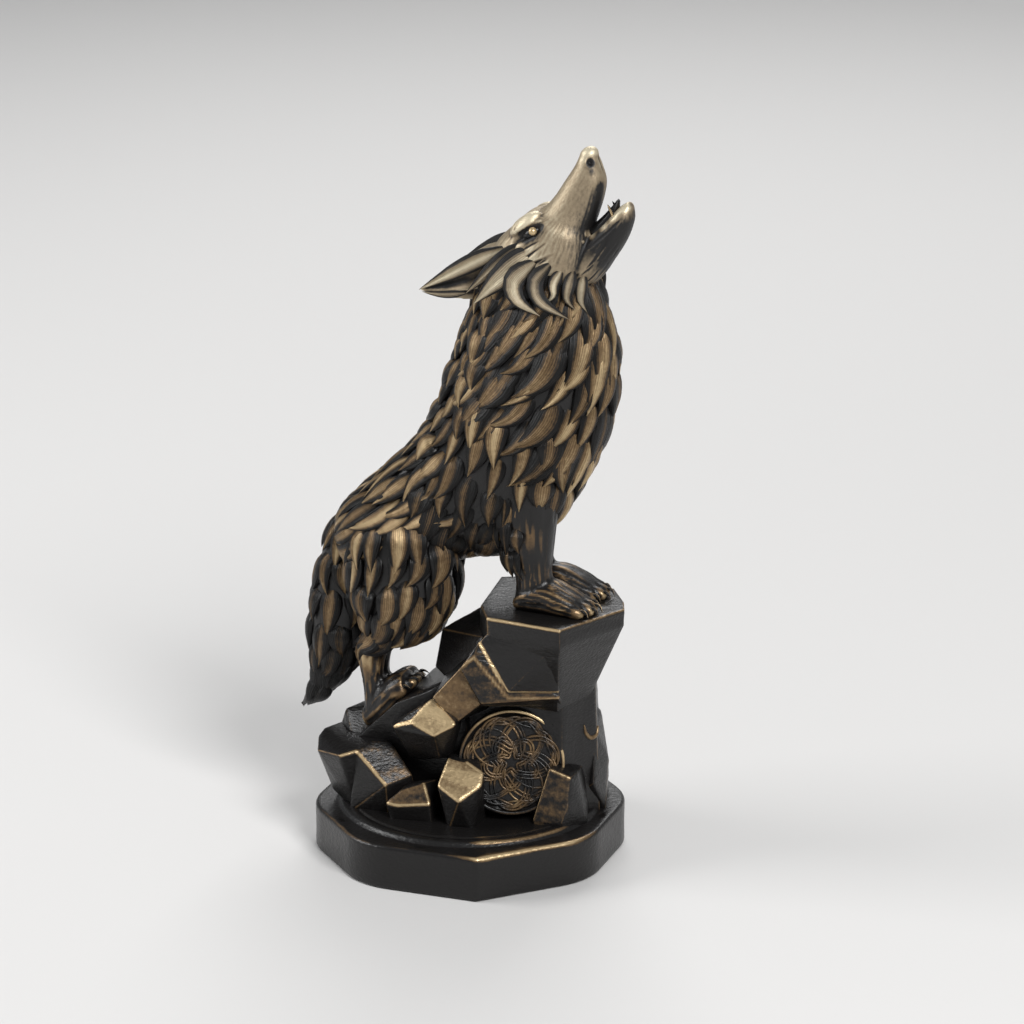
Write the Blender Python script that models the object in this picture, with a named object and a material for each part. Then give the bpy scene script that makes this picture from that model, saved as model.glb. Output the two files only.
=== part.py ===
"""A wolf figurine: a howling wolf on a pile of split rock, on an eight-sided plinth.

The figurine is cast in one piece, so every form below ends in one solid.
Lengths are millimetres until a mesh is made, which is in metres. +X is the way the
wolf faces, +Y its left side, +Z up, and the origin is the middle of the underside.
"""

import math
from typing import NamedTuple

import bmesh
import bpy
import numpy as np
from mathutils import Matrix, Vector

MM = 0.001

# Plinth
PLINTH_RADIUS = 45.0
PLINTH_HEIGHT = 12.5
PLINTH_CORNER_ROUND = 20.0
PLINTH_SHARP_ROUND = 1.0
PLINTH_CHAMFER = 0.9
PLINTH_FOOT_CHAMFER = 0.5
GROUND_RADIUS = 36.8
GROUND_RISE = 1.3
GROUND_SLOPE = 1.0
PLINTH_SIDES = 8

# Rock pile, counted from the top of the plinth
ROCK_SINK = 2.0
FORE_LEDGE_HEIGHT = 59.2
ROCK_CHAMFER = 0.45

# Medallion on the front of the rock
MEDALLION_RADIUS = 14.7
MEDALLION_AZIMUTH = -70.0
MEDALLION_LEAN = 12.0
MEDALLION_RIM = 1.3
MEDALLION_THICKNESS = 4.0
MEDALLION_RECESS = 0.8
MEDALLION_CENTRE = (17.2, -13.3, 16.4)
KNOT_BAND = 0.9
KNOT_LOBES = 5

# Wolf. The left legs stand a little behind the right ones.
WOLF_MIDDLE_Y = 2.0
FORE_STANCE = 7.0
HIND_STANCE = 7.5
FORE_STEP = 4.5
FORE_PAW_STEP = 1.2
HIND_STEP = 4.3
HIND_SLOPE = 1.05
EYE_RADIUS = 2.1
NOSE_RADIUS = 2.5
TOE_RADIUS = 1.9
EAR_THICKNESS = 1.5
BODY_SQUARENESS = 2.1
HEAD_SQUARENESS = 2.3

# Fur
LOCK_SINK = 1.3
LOCK_THICKNESS = 2.3
LOCK_STEPS = 8
LOCK_RIBS = (0, 3, 6, 8)

# Most triangles the casting may have
TRIANGLES = 11500

BLACK_BRONZE = (0.035, 0.03, 0.026, 1.0)


def plinth_top():
    return PLINTH_HEIGHT + GROUND_RISE


def fore_ledge_top():
    return plinth_top() + FORE_LEDGE_HEIGHT


class Rib(NamedTuple):
    """A cross-section of a limb: two points of its outline, as (x, z), and half its width."""

    top: tuple
    bottom: tuple
    half_width: float


# The outline of the wolf, with z counted from the ledge that the forepaws stand on.
TORSO = (
    Rib((-38.5, 15.0), (-34.5, 6.5), 5.5),
    Rib((-36.6, 21.0), (-26.0, 1.0), 11.5),
    Rib((-31.3, 27.0), (-17.0, 4.0), 13.5),
    Rib((-24.7, 32.8), (-8.0, 9.0), 13.3),
    Rib((-17.6, 40.0), (1.0, 13.0), 13.0),
    Rib((-11.5, 47.6), (12.0, 15.0), 14.0),
    Rib((-7.2, 55.0), (25.0, 25.5), 15.6),
    Rib((-4.6, 63.0), (34.8, 43.5), 16.6),
    Rib((-1.4, 71.5), (39.6, 57.5), 16.0),
    Rib((0.8, 79.0), (40.4, 71.5), 14.5),
    Rib((2.6, 85.0), (38.0, 82.5), 12.4),
    Rib((5.0, 91.0), (35.6, 90.0), 10.8),
    Rib((9.0, 97.0), (35.0, 97.0), 9.0),
)
SKULL = (
    Rib((5.5, 95.5), (20.0, 86.0), 6.0),
    Rib((8.2, 101.5), (33.0, 90.0), 9.6),
    Rib((12.8, 106.2), (35.6, 97.0), 10.3),
    Rib((17.4, 110.4), (35.6, 102.8), 9.3),
    Rib((21.2, 111.6), (35.0, 106.8), 7.4),
    Rib((24.4, 115.2), (36.2, 110.8), 5.9),
    Rib((27.2, 119.5), (37.6, 115.4), 5.0),
    Rib((29.8, 123.6), (38.2, 119.6), 4.4),
    Rib((31.4, 126.8), (37.2, 123.4), 3.4),
    Rib((33.4, 128.3), (36.0, 126.6), 1.7),
)
JAW = (
    Rib((25.0, 99.0), (30.0, 88.0), 7.0),
    Rib((32.0, 103.5), (36.6, 92.6), 7.4),
    Rib((35.6, 106.6), (42.2, 100.6), 5.8),
    Rib((39.0, 110.0), (44.9, 105.6), 4.7),
    Rib((42.0, 113.0), (46.2, 110.0), 3.7),
    Rib((44.6, 114.8), (46.0, 113.2), 1.9),
)
TONGUE = (
    Rib((34.2, 107.2), (36.4, 104.0), 3.2),
    Rib((37.6, 110.4), (40.0, 108.0), 3.0),
    Rib((40.4, 113.6), (41.8, 111.6), 2.0),
    Rib((41.6, 115.2), (42.2, 114.4), 0.9),
)
FORELEG = (
    Rib((28.3, 36.0), (6.8, 34.0), 6.6),
    Rib((27.0, 25.0), (9.6, 22.0), 6.6),
    Rib((26.2, 17.5), (12.8, 14.0), 5.8),
    Rib((25.6, 11.0), (15.6, 8.6), 4.9),
    Rib((26.4, 6.5), (15.6, 4.0), 4.9),
    Rib((25.8, 2.6), (16.8, 0.8), 4.6),
)
FOREPAW = (
    Rib((15.6, 3.6), (15.4, 0.2), 3.6),
    Rib((18.6, 7.6), (17.6, -0.6), 5.2),
    Rib((25.0, 9.0), (24.0, -0.7), 6.3),
    Rib((31.0, 6.6), (30.5, -0.7), 7.0),
    Rib((35.4, 3.8), (35.2, -0.4), 6.0),
)
THIGH = (
    Rib((-11.0, 28.0), (-32.0, 19.0), 6.4),
    Rib((-4.6, 18.0), (-33.0, 10.0), 8.0),
    Rib((-3.4, 8.0), (-31.5, 0.0), 8.4),
    Rib((-5.2, -2.2), (-28.6, -8.2), 7.4),
    Rib((-10.2, -9.6), (-27.2, -12.8), 5.8),
    Rib((-17.0, -14.0), (-28.4, -15.6), 4.4),
    Rib((-22.0, -17.4), (-31.4, -18.8), 3.8),
    Rib((-23.6, -22.6), (-30.6, -23.0), 3.3),
    Rib((-23.4, -28.0), (-29.6, -28.6), 3.4),
    Rib((-22.6, -32.0), (-29.0, -35.0), 3.8),
)
HINDPAW = (
    Rib((-30.0, -36.0), (-27.6, -40.6), 3.2),
    Rib((-27.4, -31.4), (-23.4, -39.4), 4.3),
    Rib((-24.2, -27.0), (-19.6, -35.4), 5.2),
    Rib((-20.8, -24.0), (-17.0, -31.6), 5.8),
    Rib((-17.4, -22.6), (-15.0, -28.4), 5.0),
)
TAIL = (
    Rib((-39.5, 20.0), (-29.0, 17.0), 5.5),
    Rib((-43.6, 10.0), (-31.0, 7.0), 6.6),
    Rib((-45.6, 0.0), (-31.2, -2.0), 7.2),
    Rib((-47.4, -9.5), (-31.0, -10.5), 7.4),
    Rib((-47.8, -18.0), (-32.0, -18.0), 6.9),
    Rib((-47.5, -26.0), (-35.0, -25.0), 5.6),
    Rib((-47.6, -32.0), (-39.6, -30.6), 3.6),
    Rib((-48.4, -36.2), (-44.6, -34.6), 1.9),
    Rib((-51.2, -39.8), (-50.4, -39.2), 0.35),
)
ELBOW_TUFT = (
    Rib((14.0, 24.0), (4.0, 22.0), 5.0),
    Rib((13.0, 17.0), (6.0, 15.6), 4.0),
    Rib((9.4, 11.8), (7.0, 11.4), 1.2),
)


class Skin:
    """The smooth surface through a row of ribs, at a distance y from the wolf's middle plane.

    It can be set back and down from where its ribs stand.
    """

    def __init__(self, ribs, y=0.0, squareness=BODY_SQUARENESS, back=0.0, down=0.0):
        lift = fore_ledge_top() - down
        self.values = np.array([
            (r.top[0] - back, r.top[1] + lift, r.bottom[0] - back, r.bottom[1] + lift, r.half_width)
            for r in ribs
        ])
        self.y = WOLF_MIDDLE_Y + y
        self.squareness = squareness

    def section(self, u):
        """Middle, rise and half-width of the section at u, from 0 at the first rib to 1 at the last."""
        last = len(self.values) - 1
        place = min(max(u, 0.0), 1.0) * last
        i = min(int(place), last - 1)
        t = place - i
        a, b = self.values[i], self.values[i + 1]
        before = self.values[i - 1] if i else 2 * a - b
        after = self.values[i + 2] if i + 2 <= last else 2 * b - a
        row = 0.5 * (
            2 * a + (b - before) * t + (2 * before - 5 * a + 4 * b - after) * t**2
            + (3 * a - before - 3 * b + after) * t**3
        )
        middle = Vector(((row[0] + row[2]) / 2, self.y, (row[1] + row[3]) / 2))
        rise = Vector(((row[0] - row[2]) / 2, 0.0, (row[1] - row[3]) / 2))
        return middle, rise, row[4]

    def at(self, u, v):
        """Point at u along the limb and angle v round it, 0 at the top and a quarter turn at +Y."""
        middle, rise, half_width = self.section(u)
        power = 2.0 / self.squareness
        c, s = math.cos(v), math.sin(v)
        up = math.copysign(abs(c) ** power, c)
        out = math.copysign(abs(s) ** power, s)
        return middle + rise * up + Vector((0.0, half_width * out, 0.0))

    def slopes(self, u, v):
        """How the point moves for a small step of u and of v, and the outward normal."""
        du, dv = 0.01, 0.05
        low, high = max(u - du, 0.0), min(u + du, 1.0)
        along = (self.at(high, v) - self.at(low, v)) / (high - low)
        around = (self.at(u, v + dv) - self.at(u, v - dv)) / (2 * dv)
        normal = along.cross(around).normalized()
        if normal.dot(self.at(u, v) - self.section(u)[0]) < 0:
            normal.negate()
        return along, around, normal

    def mesh(self, rings, sides):
        """Closed mesh of the limb."""
        bm = bmesh.new()
        loops = [
            [bm.verts.new(self.at(i / (rings - 1), 2 * math.pi * j / sides)) for j in range(sides)]
            for i in range(rings)
        ]
        for lower, upper in zip(loops, loops[1:]):
            for j in range(sides):
                k = (j + 1) % sides
                bm.faces.new((lower[j], lower[k], upper[k], upper[j]))
        for loop in (loops[0], loops[-1]):
            middle = bm.verts.new(sum((p.co for p in loop), Vector()) / sides)
            for j in range(sides):
                bm.faces.new((loop[j], loop[(j + 1) % sides], middle))
        bmesh.ops.recalc_face_normals(bm, faces=bm.faces)
        return bm


class Coat(NamedTuple):
    """Rows of fur locks on a limb, from root to tip, spread by reach degrees to both sides of centre.

    Sense says which way along the limb the fur runs, droop how much it hangs, and sweep how far
    it turns towards the chest.
    """

    root: float
    tip: float
    rows: int
    per_row: int
    centre: float
    reach: float
    length: float
    width: float
    sense: float
    droop: float = 0.0
    sweep: float = 0.0
    seed: int = 3


NAPE = Coat(0.97, 0.46, 9, 7, 0.0, 62.0, 10.5, 6.6, -1.0, 0.15, seed=5)
CHEST = Coat(0.98, 0.62, 6, 13, 180.0, 128.0, 17.0, 8.0, -1.0, 0.3, 30.0, seed=6)
SHOULDER = Coat(0.61, 0.43, 3, 13, 180.0, 128.0, 15.5, 7.6, -1.0, 0.6, 4.0, seed=7)
FLANK = Coat(0.43, 0.14, 5, 8, 0.0, 100.0, 17.0, 6.0, -1.0, 0.04, seed=8)
HAUNCH = Coat(0.02, 0.40, 5, 6, 90.0, 92.0, 12.5, 5.8, 1.0, 0.2, seed=10)
BRUSH = Coat(0.03, 0.80, 7, 8, 0.0, 180.0, 12.5, 6.2, 1.0, seed=11)


def lock_mesh(path, width, thickness):
    """A leaf-shaped lock along a path of (point, outward normal). Its keel is sunk in the body."""
    bm = bmesh.new()
    last = len(path) - 1
    rows = []
    for i, (point, normal) in enumerate(path):
        s = i / last
        if i in (0, last):
            height = -LOCK_SINK if i == 0 else 0.75 * thickness
            rows.append([bm.verts.new(point + normal * height)])
            continue
        step = path[i + 1][0] - path[i - 1][0]
        side = normal.cross(step).normalized()
        half = 0.5 * width * math.sin(math.pi * (0.12 + 0.80 * s) ** 0.85)
        rise = thickness * (0.45 + 0.75 * s)
        edge = thickness * (-0.85 + 0.85 * s)
        rows.append([
            bm.verts.new(point + side * half + normal * edge),
            bm.verts.new(point + normal * rise),
            bm.verts.new(point - side * half + normal * edge),
        ])
    for row, end in ((rows[1], rows[0][0]), (rows[-2], rows[-1][0])):
        for j in range(3):
            bm.faces.new((row[j], row[(j + 1) % 3], end))
    for lower, upper in zip(rows[1:-1], rows[2:-1]):
        for j in range(3):
            k = (j + 1) % 3
            bm.faces.new((lower[j], lower[k], upper[k], upper[j]))
    bmesh.ops.recalc_face_normals(bm, faces=bm.faces)
    return bm


class CheekLock(NamedTuple):
    """A long lock on the right cheek, from its root over its bend to its tip, in wolf coordinates."""

    root: tuple
    bend: tuple
    tip: tuple
    width: float


CHEEK_LOCKS = (
    CheekLock((19.0, -9.0, 104.5), (13.0, -12.0, 95.5), (5.2, -13.4, 87.0), 7.4),
    CheekLock((19.4, -10.4, 98.6), (18.0, -13.2, 91.0), (25.2, -14.6, 86.4), 5.6),
    CheekLock((24.8, -9.6, 100.4), (24.0, -12.8, 91.6), (33.2, -12.6, 86.6), 4.6),
)


def cheek_meshes(side):
    """The cheek locks of one side, mirrored for the left."""
    for lock in CHEEK_LOCKS:
        root, bend, tip = (wolf_point(x, -side * y, z) for x, y, z in (lock.root, lock.bend, lock.tip))
        path = []
        for i in range(4):
            s = i / 3
            point = root.lerp(bend, s).lerp(bend.lerp(tip, s), s)
            path.append((point, Vector((0.15, side, 0.1 - 0.3 * s)).normalized()))
        yield lock_mesh(path, lock.width, 1.6)


def lock_path(skin, u, v, length, coat):
    """Points and normals along the fur's run from (u, v), following the skin."""
    path = []
    for k in range(LOCK_STEPS + 1):
        along, around, normal = skin.slopes(u, v)
        path.append((skin.at(u, v), normal))
        run = (along * coat.sense).normalized() * (1.0 - coat.droop) + Vector((0.0, 0.0, -coat.droop))
        run = (run - normal * run.dot(normal)).normalized()
        turn = math.radians(coat.sweep) * math.sin(v) * (0.45 + 1.1 * math.sin(math.pi * k / LOCK_STEPS))
        run = run * math.cos(turn) + normal.cross(run) * math.sin(turn)
        run *= length / LOCK_STEPS
        aa, ab, bb = along.dot(along), along.dot(around), around.dot(around)
        ra, rb = run.dot(along), run.dot(around)
        spread = max(aa * bb - ab * ab, 1e-9)
        u = min(max(u + (ra * bb - rb * ab) / spread, 0.0), 1.0)
        v += (rb * aa - ra * ab) / spread
    return [path[k] for k in LOCK_RIBS]


def coat_meshes(skin, coat, side=1):
    """The locks of one coat, each a closed mesh, in rows that overlap like shingles."""
    rng = np.random.default_rng(coat.seed)
    row, k = np.divmod(np.arange(coat.rows * coat.per_row), coat.per_row)
    count = len(row)
    inset = 0.0 if coat.reach >= 180.0 else 0.25
    share = (k + inset + 0.5 * (row % 2)) / coat.per_row
    spread = coat.reach / coat.per_row
    v = np.radians(
        side * coat.centre + (2 * share - 1) * coat.reach + rng.uniform(-0.3, 0.3, count) * spread
    )
    gap = (coat.tip - coat.root) / max(coat.rows - 1, 1)
    u = coat.root + gap * (row + rng.uniform(-0.22, 0.22, count))
    length = coat.length * rng.uniform(0.82, 1.18, count)
    width = coat.width * rng.uniform(0.85, 1.15, count)
    for n in range(count):
        path = lock_path(skin, float(u[n]), float(v[n]), float(length[n]), coat)
        yield lock_mesh(path, float(width[n]), LOCK_THICKNESS)


class Rock(NamedTuple):
    """A split rock: the corners that its flat faces run between, with z from the plinth's top."""

    corners: tuple
    chamfer: float = ROCK_CHAMFER


# The fore ledge: its top, its widest part and its drawn-in foot, each as (plan, depth below the top)
FORE_LEDGE = (
    (
        (
            (11.4, -17.2), (33.4, -20.2), (44.3, 2.4), (42.3, 8.0), (36.0, 18.0), (20.0, 25.0),
            (3.1, 17.0), (6.2, -8.0),
        ),
        0.0,
    ),
    (
        (
            (11.4, -16.8), (33.4, -19.8), (44.0, 2.8), (36.0, 18.5), (20.0, 25.0), (2.6, 17.0),
            (6.0, -8.0),
        ),
        5.0,
    ),
    (
        (
            (11.4, -15.6), (32.0, -17.8), (41.6, 1.6), (35.0, 17.0), (19.0, 23.5), (3.0, 16.0),
            (6.0, -7.0),
        ),
        10.0,
    ),
    (
        (
            (12.0, -13.6), (30.0, -14.5), (36.6, 0.0), (32.0, 15.0), (18.0, 21.0), (4.0, 14.0),
            (6.0, -6.0),
        ),
        15.5,
    ),
    (
        (
            (14.0, -8.0), (29.0, -9.0), (34.0, 2.0), (30.0, 12.0), (8.0, 12.0),
        ),
        28.0,
    ),
)


def fore_ledge():
    """The block under the forepaws, with faces that draw in towards its foot."""
    corners = [(x, y, FORE_LEDGE_HEIGHT - depth) for plan, depth in FORE_LEDGE for x, y in plan]
    return Rock(tuple(corners))


ROCKS = (
    # the core under the fore ledge
    Rock((
        (13, -6, 0), (30, -8, 0), (37, 4, 0), (31, 24, 0), (12, 30, 0), (-4, 22, 0), (-2, -8, 0),
        (13, -8, 46), (30, -8, 46), (35.5, 3, 46), (31, 16, 46), (18, 21, 46), (2, 17, 46),
        (4, -8, 46),
    )),
    # the shelf above the medallion, with its long worn edge
    Rock((
        (9.1, -16.9, 52.3), (8.5, -19.2, 48.4), (18.7, -16.0, 38.5), (30.2, -12.0, 37.6),
        (9.4, -16.8, 33.2), (19.5, -12.5, 33.0), (30.0, -8.5, 33.0), (19.0, -12.0, 40.5),
        (30.0, -8.0, 39.5), (11, -8, 52), (8, -4, 30), (30, -2, 33),
    )),
    # the worn front of the fore ledge's block
    Rock((
        (9.2, -17.2, 51.9), (17.5, -17.5, 38.4), (30.6, -12.8, 38.4), (32.0, -16.5, 49.5),
        (12.5, -16.4, 56.0), (31.4, -18.0, 54.0), (14, -6, 52), (16, -6, 39), (30, -4, 39),
    )),
    # the leaning slab between the fore ledge and the hind ledge
    Rock((
        (4.5, 1.4, 56.3), (-8.3, 0.2, 47.9), (-9.1, -3.3, 37.8), (4.5, -13.0, 43.0),
        (8.5, -12.0, 51.5), (5, 17, 55), (-7.5, 14, 46.5), (-9, 15, 34), (10, 16, 34),
        (0, -12, 36),
    )),
    # two worn facets that step down in front of the slab
    Rock((
        (3.4, -17.4, 43.1), (-3.9, -19.6, 35.9), (1.4, -18.6, 27.6), (8.9, -16.4, 32.8),
        (8.4, -18.4, 47.6), (7, -5, 50), (-5, -6, 37), (0, -6, 25), (10, -5, 30),
    )),
    Rock((
        (-3.9, -20.8, 36.0), (-9.3, -22.5, 29.2), (-1.8, -22.0, 25.4), (2.2, -18.6, 27.5),
        (-14.4, -23.4, 26.7), (-20, -10, 22.0), (-3, -8, 34), (-12.0, -14, 14), (0, -14, 16),
        (-12.5, -19, 22), (-4.0, -18, 18),
    )),
    # the slope under the hind paws
    Rock((
        (-30.5, -12.0, 16.0), (-17.0, -14.0, 29.5), (-6.0, -14.0, 35.0), (2.0, -10.0, 40.0),
        (2.0, 14.0, 40.0), (-6.0, 18.0, 35.0), (-17.0, 18.0, 29.5), (-30.5, 16.0, 16.0),
        (-33, -8, 0), (-33, 16, 0), (4, -10, 0), (4, 20, 0),
    )),
    # the low slab on the left, and the rock behind it
    Rock((
        (-37.9, -20.1, 15.3), (-40.6, -12.7, 16.6), (-40.6, -8.4, 17.4), (-37.5, -3.0, 17.7),
        (-30.0, -23.0, 17.0), (-24.6, -22.4, 18.0), (-19.0, -12.0, 18.0), (-30.0, 20.0, 15.0),
        (-10.0, 24.0, 14.0), (-36.0, -14.0, 2.0), (-36.0, -9.0, 0), (-27, -18.5, 0), (-16, -12, 0),
        (-34.5, 4, 0), (-26, 19, 0), (-8, 26, 0),
    )),
    Rock((
        (-36.2, -3.0, 21.9), (-31.2, 1.7, 23.6), (-25.0, -4.0, 24.6), (-26.0, 12.0, 24.0),
        (-38.4, -4.0, 14.0), (-30.0, -12.0, 15.5), (-34.0, 14.0, 14.0), (-20, 16, 14),
        (-20, -10, 14),
    )),
    # the wedge with the worn edge at the front left
    Rock((
        (-30.2, -23.6, 17.2), (-25.0, -22.6, 18.4), (-17.8, -21.4, 9.2), (-11.4, -18.4, 12.4),
        (-18.0, -14.0, 18.8), (-18.0, -21.8, 5.4), (-28.5, -19.5, 0), (-17, -19, 0), (-10, -13, 0),
        (-22, -10, 0),
    )),
    # small rocks at the foot
    Rock((
        (-16.0, -24.4, 4.8), (-12.2, -26.2, 4.9), (-3.3, -23.0, 5.6), (-5.0, -22.6, 8.9),
        (-6.4, -20.6, 11.6), (-14, -24.0, 0), (-2.6, -22.0, 0), (-4, -14, 9), (-3, -14, 0),
        (-14, -15, 0), (-13, -16, 9),
    )),
    Rock((
        (0.9, -23.1, 16.1), (0.6, -27.6, 12.2), (6.7, -28.0, 9.2), (11.2, -25.7, 10.1),
        (11.7, -22.3, 12.7), (6.6, -21.0, 15.2), (3.4, -17.2, 20.5), (2.4, -23.4, 0),
        (9.6, -22.4, 0), (-1, -14, 17), (-1, -14, 0), (10, -14, 0), (8, -14, 18),
    )),
    Rock((
        (26.9, -11.5, 14.6), (33.4, -13.4, 12.6), (34.6, -9.0, 14.2), (24.2, -16.4, 0),
        (33.8, -13.6, 0), (37.0, -6.0, 0), (28, -3, 16), (24, -6, 0), (34, 4, 0), (33, 2, 13),
    )),
    # rocks on the right and at the back
    Rock((
        (35.5, 4.0, 22.0), (33.5, 15.0, 24.0), (37.5, 10.0, 12.0), (36.5, 0.0, 8.0), (30, 8, 32),
        (26, 22, 20), (38, 6, 0), (34, 20, 0), (24, 26, 0), (26, 4, 0),
    )),
    Rock((
        (10, 32, 18), (22, 30, 16), (27, 27, 0), (14, 35.5, 0), (2, 33.5, 0), (4, 28, 24),
        (16, 14, 32), (0, 16, 28), (22, 16, 0), (0, 16, 0),
    )),
    Rock((
        (-8, 30, 14), (-18, 27, 16), (-21, 29, 0), (-6, 34, 0), (3, 30, 0), (-4, 20, 28),
        (-16, 14, 22), (2, 12, 0), (-22, 14, 0),
    )),
)


def rock_mesh(rock):
    """The hull of the rock's corners, with its edges worn off."""
    bm = bmesh.new()
    for x, y, z in rock.corners:
        foot = -ROCK_SINK if z == 0 else 0.0
        bm.verts.new((x, y, plinth_top() + z + foot))
    hull = bmesh.ops.convex_hull(bm, input=bm.verts)
    spare = [e for e in hull["geom_interior"] + hull["geom_unused"] if isinstance(e, bmesh.types.BMVert)]
    bmesh.ops.delete(bm, geom=list(set(spare)), context="VERTS")
    bmesh.ops.dissolve_limit(bm, angle_limit=math.radians(4.0), verts=bm.verts, edges=bm.edges)
    sharp = [e for e in bm.edges if len(e.link_faces) == 2 and e.calc_face_angle() > math.radians(22.0)]
    bmesh.ops.bevel(bm, geom=sharp, offset=rock.chamfer, segments=1, affect="EDGES", clamp_overlap=True)
    bmesh.ops.recalc_face_normals(bm, faces=bm.faces)
    return bm


def plinth_outline(inset):
    """Plan of the plinth, drawn in by inset: eight sides, rounded at every corner but the front one."""
    points = []
    turn = 2 * math.pi / PLINTH_SIDES
    half = turn / 2
    for i in range(PLINTH_SIDES):
        angle = half + i * turn
        front = i == PLINTH_SIDES - 2
        rounding = PLINTH_SHARP_ROUND if front else PLINTH_CORNER_ROUND
        rounding = max(rounding - inset, 0.3)
        reach = (PLINTH_RADIUS * math.cos(half) - inset) / math.cos(half)
        centre = Vector((math.cos(angle), math.sin(angle))) * (reach - rounding / math.cos(half))
        steps = 2 if front else 4
        for k in range(steps + 1):
            a = angle - half + turn * k / steps
            points.append(centre + Vector((math.cos(a), math.sin(a))) * rounding)
    return points


def plinth_mesh():
    """The plinth: a chamfered wall, a flat rim and a round, slightly raised ground for the rock."""
    walls = (
        (PLINTH_FOOT_CHAMFER, 0.0),
        (0.0, PLINTH_FOOT_CHAMFER),
        (0.0, PLINTH_HEIGHT - PLINTH_CHAMFER),
        (PLINTH_CHAMFER, PLINTH_HEIGHT),
    )
    grounds = (
        (GROUND_RADIUS, PLINTH_HEIGHT),
        (GROUND_RADIUS - GROUND_SLOPE, plinth_top()),
    )
    bm = bmesh.new()
    loops = [[bm.verts.new((*p, z)) for p in plinth_outline(inset)] for inset, z in walls]
    rays = [p.normalized() for p in plinth_outline(0.0)]
    loops += [[bm.verts.new((*(ray * radius), z)) for ray in rays] for radius, z in grounds]
    count = len(loops[0])
    for lower, upper in zip(loops, loops[1:]):
        for j in range(count):
            k = (j + 1) % count
            bm.faces.new((lower[j], lower[k], upper[k], upper[j]))
    bm.faces.new(list(reversed(loops[0])))
    bm.faces.new(loops[-1])
    bmesh.ops.recalc_face_normals(bm, faces=bm.faces)
    return bm


def medallion_frame():
    """Matrix that puts a flat disc, facing +Z, on the front of the rock."""
    x, y, z = MEDALLION_CENTRE
    turn = Matrix.Rotation(math.radians(MEDALLION_AZIMUTH), 4, "Z")
    lean = Matrix.Rotation(math.radians(90.0 - MEDALLION_LEAN), 4, "Y")
    return Matrix.Translation((x, y, plinth_top() + z)) @ turn @ lean


def medallion_mesh():
    """A round boss with a raised rim and a sunk field."""
    sides = 40
    levels = (
        (MEDALLION_RADIUS, -MEDALLION_THICKNESS),
        (MEDALLION_RADIUS, 0.0),
        (MEDALLION_RADIUS - MEDALLION_RIM, 0.0),
        (MEDALLION_RADIUS - MEDALLION_RIM, -MEDALLION_RECESS),
    )
    bm = bmesh.new()
    angles = [2 * math.pi * j / sides for j in range(sides)]
    loops = [[bm.verts.new((r * math.cos(a), r * math.sin(a), z)) for a in angles] for r, z in levels]
    for lower, upper in zip(loops, loops[1:]):
        for j in range(sides):
            k = (j + 1) % sides
            bm.faces.new((lower[j], lower[k], upper[k], upper[j]))
    bm.faces.new(list(reversed(loops[0])))
    bm.faces.new(loops[-1])
    bmesh.ops.recalc_face_normals(bm, faces=bm.faces)
    bm.transform(medallion_frame())
    return bm


def knot_mesh():
    """One endless band that winds round the medallion's field in overlapping lobes."""
    field = MEDALLION_RADIUS - MEDALLION_RIM
    steps = 50
    turns = 2
    half = KNOT_BAND / 2
    bm = bmesh.new()
    rows = []
    for i in range(steps):
        t = 2 * math.pi * turns * i / steps
        reach = field * (0.60 + 0.30 * math.cos(t * KNOT_LOBES / turns))
        point = Vector((reach * math.cos(t), reach * math.sin(t), 0.0))
        rows.append(point)
    loops = []
    for i, point in enumerate(rows):
        run = (rows[(i + 1) % steps] - rows[i - 1]).normalized()
        side = Vector((-run.y, run.x, 0.0))
        loops.append([
            bm.verts.new(point + side * half + Vector((0, 0, -1.6 * MEDALLION_RECESS))),
            bm.verts.new(point - side * half + Vector((0, 0, -1.6 * MEDALLION_RECESS))),
            bm.verts.new(point + Vector((0, 0, -0.05))),
        ])
    for i, loop in enumerate(loops):
        after = loops[(i + 1) % steps]
        for j in range(3):
            k = (j + 1) % 3
            bm.faces.new((loop[j], loop[k], after[k], after[j]))
    bmesh.ops.recalc_face_normals(bm, faces=bm.faces)
    bm.transform(medallion_frame())
    return bm


def ellipsoid_mesh(centre, radii, tilt=0.0, segments=8, rings=6):
    """An ellipsoid whose long axis is tilted upwards from +X by tilt degrees."""
    bm = bmesh.new()
    bmesh.ops.create_uvsphere(bm, u_segments=segments, v_segments=rings, radius=1.0)
    bm.transform(
        Matrix.Translation(centre)
        @ Matrix.Rotation(math.radians(-tilt), 4, "Y")
        @ Matrix.Diagonal((*radii, 1.0))
    )
    return bm


def wolf_point(x, y, z):
    """A point of the wolf, given like the ribs: y from its middle plane, z from the fore ledge."""
    return Vector((x, WOLF_MIDDLE_Y + y, fore_ledge_top() + z))


def toe_meshes(front, y, tilt, spread):
    """Four toes side by side in front of a paw."""
    x, z = front
    rise = math.tan(math.radians(tilt))
    for k in range(4):
        across = (k - 1.5) * spread
        back = 1.8 if k in (0, 3) else 0.0
        centre = wolf_point(x - back, y + across, z - back * rise)
        yield ellipsoid_mesh(centre, (3.2, TOE_RADIUS, TOE_RADIUS), tilt - 12.0, 6, 4)


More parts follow.
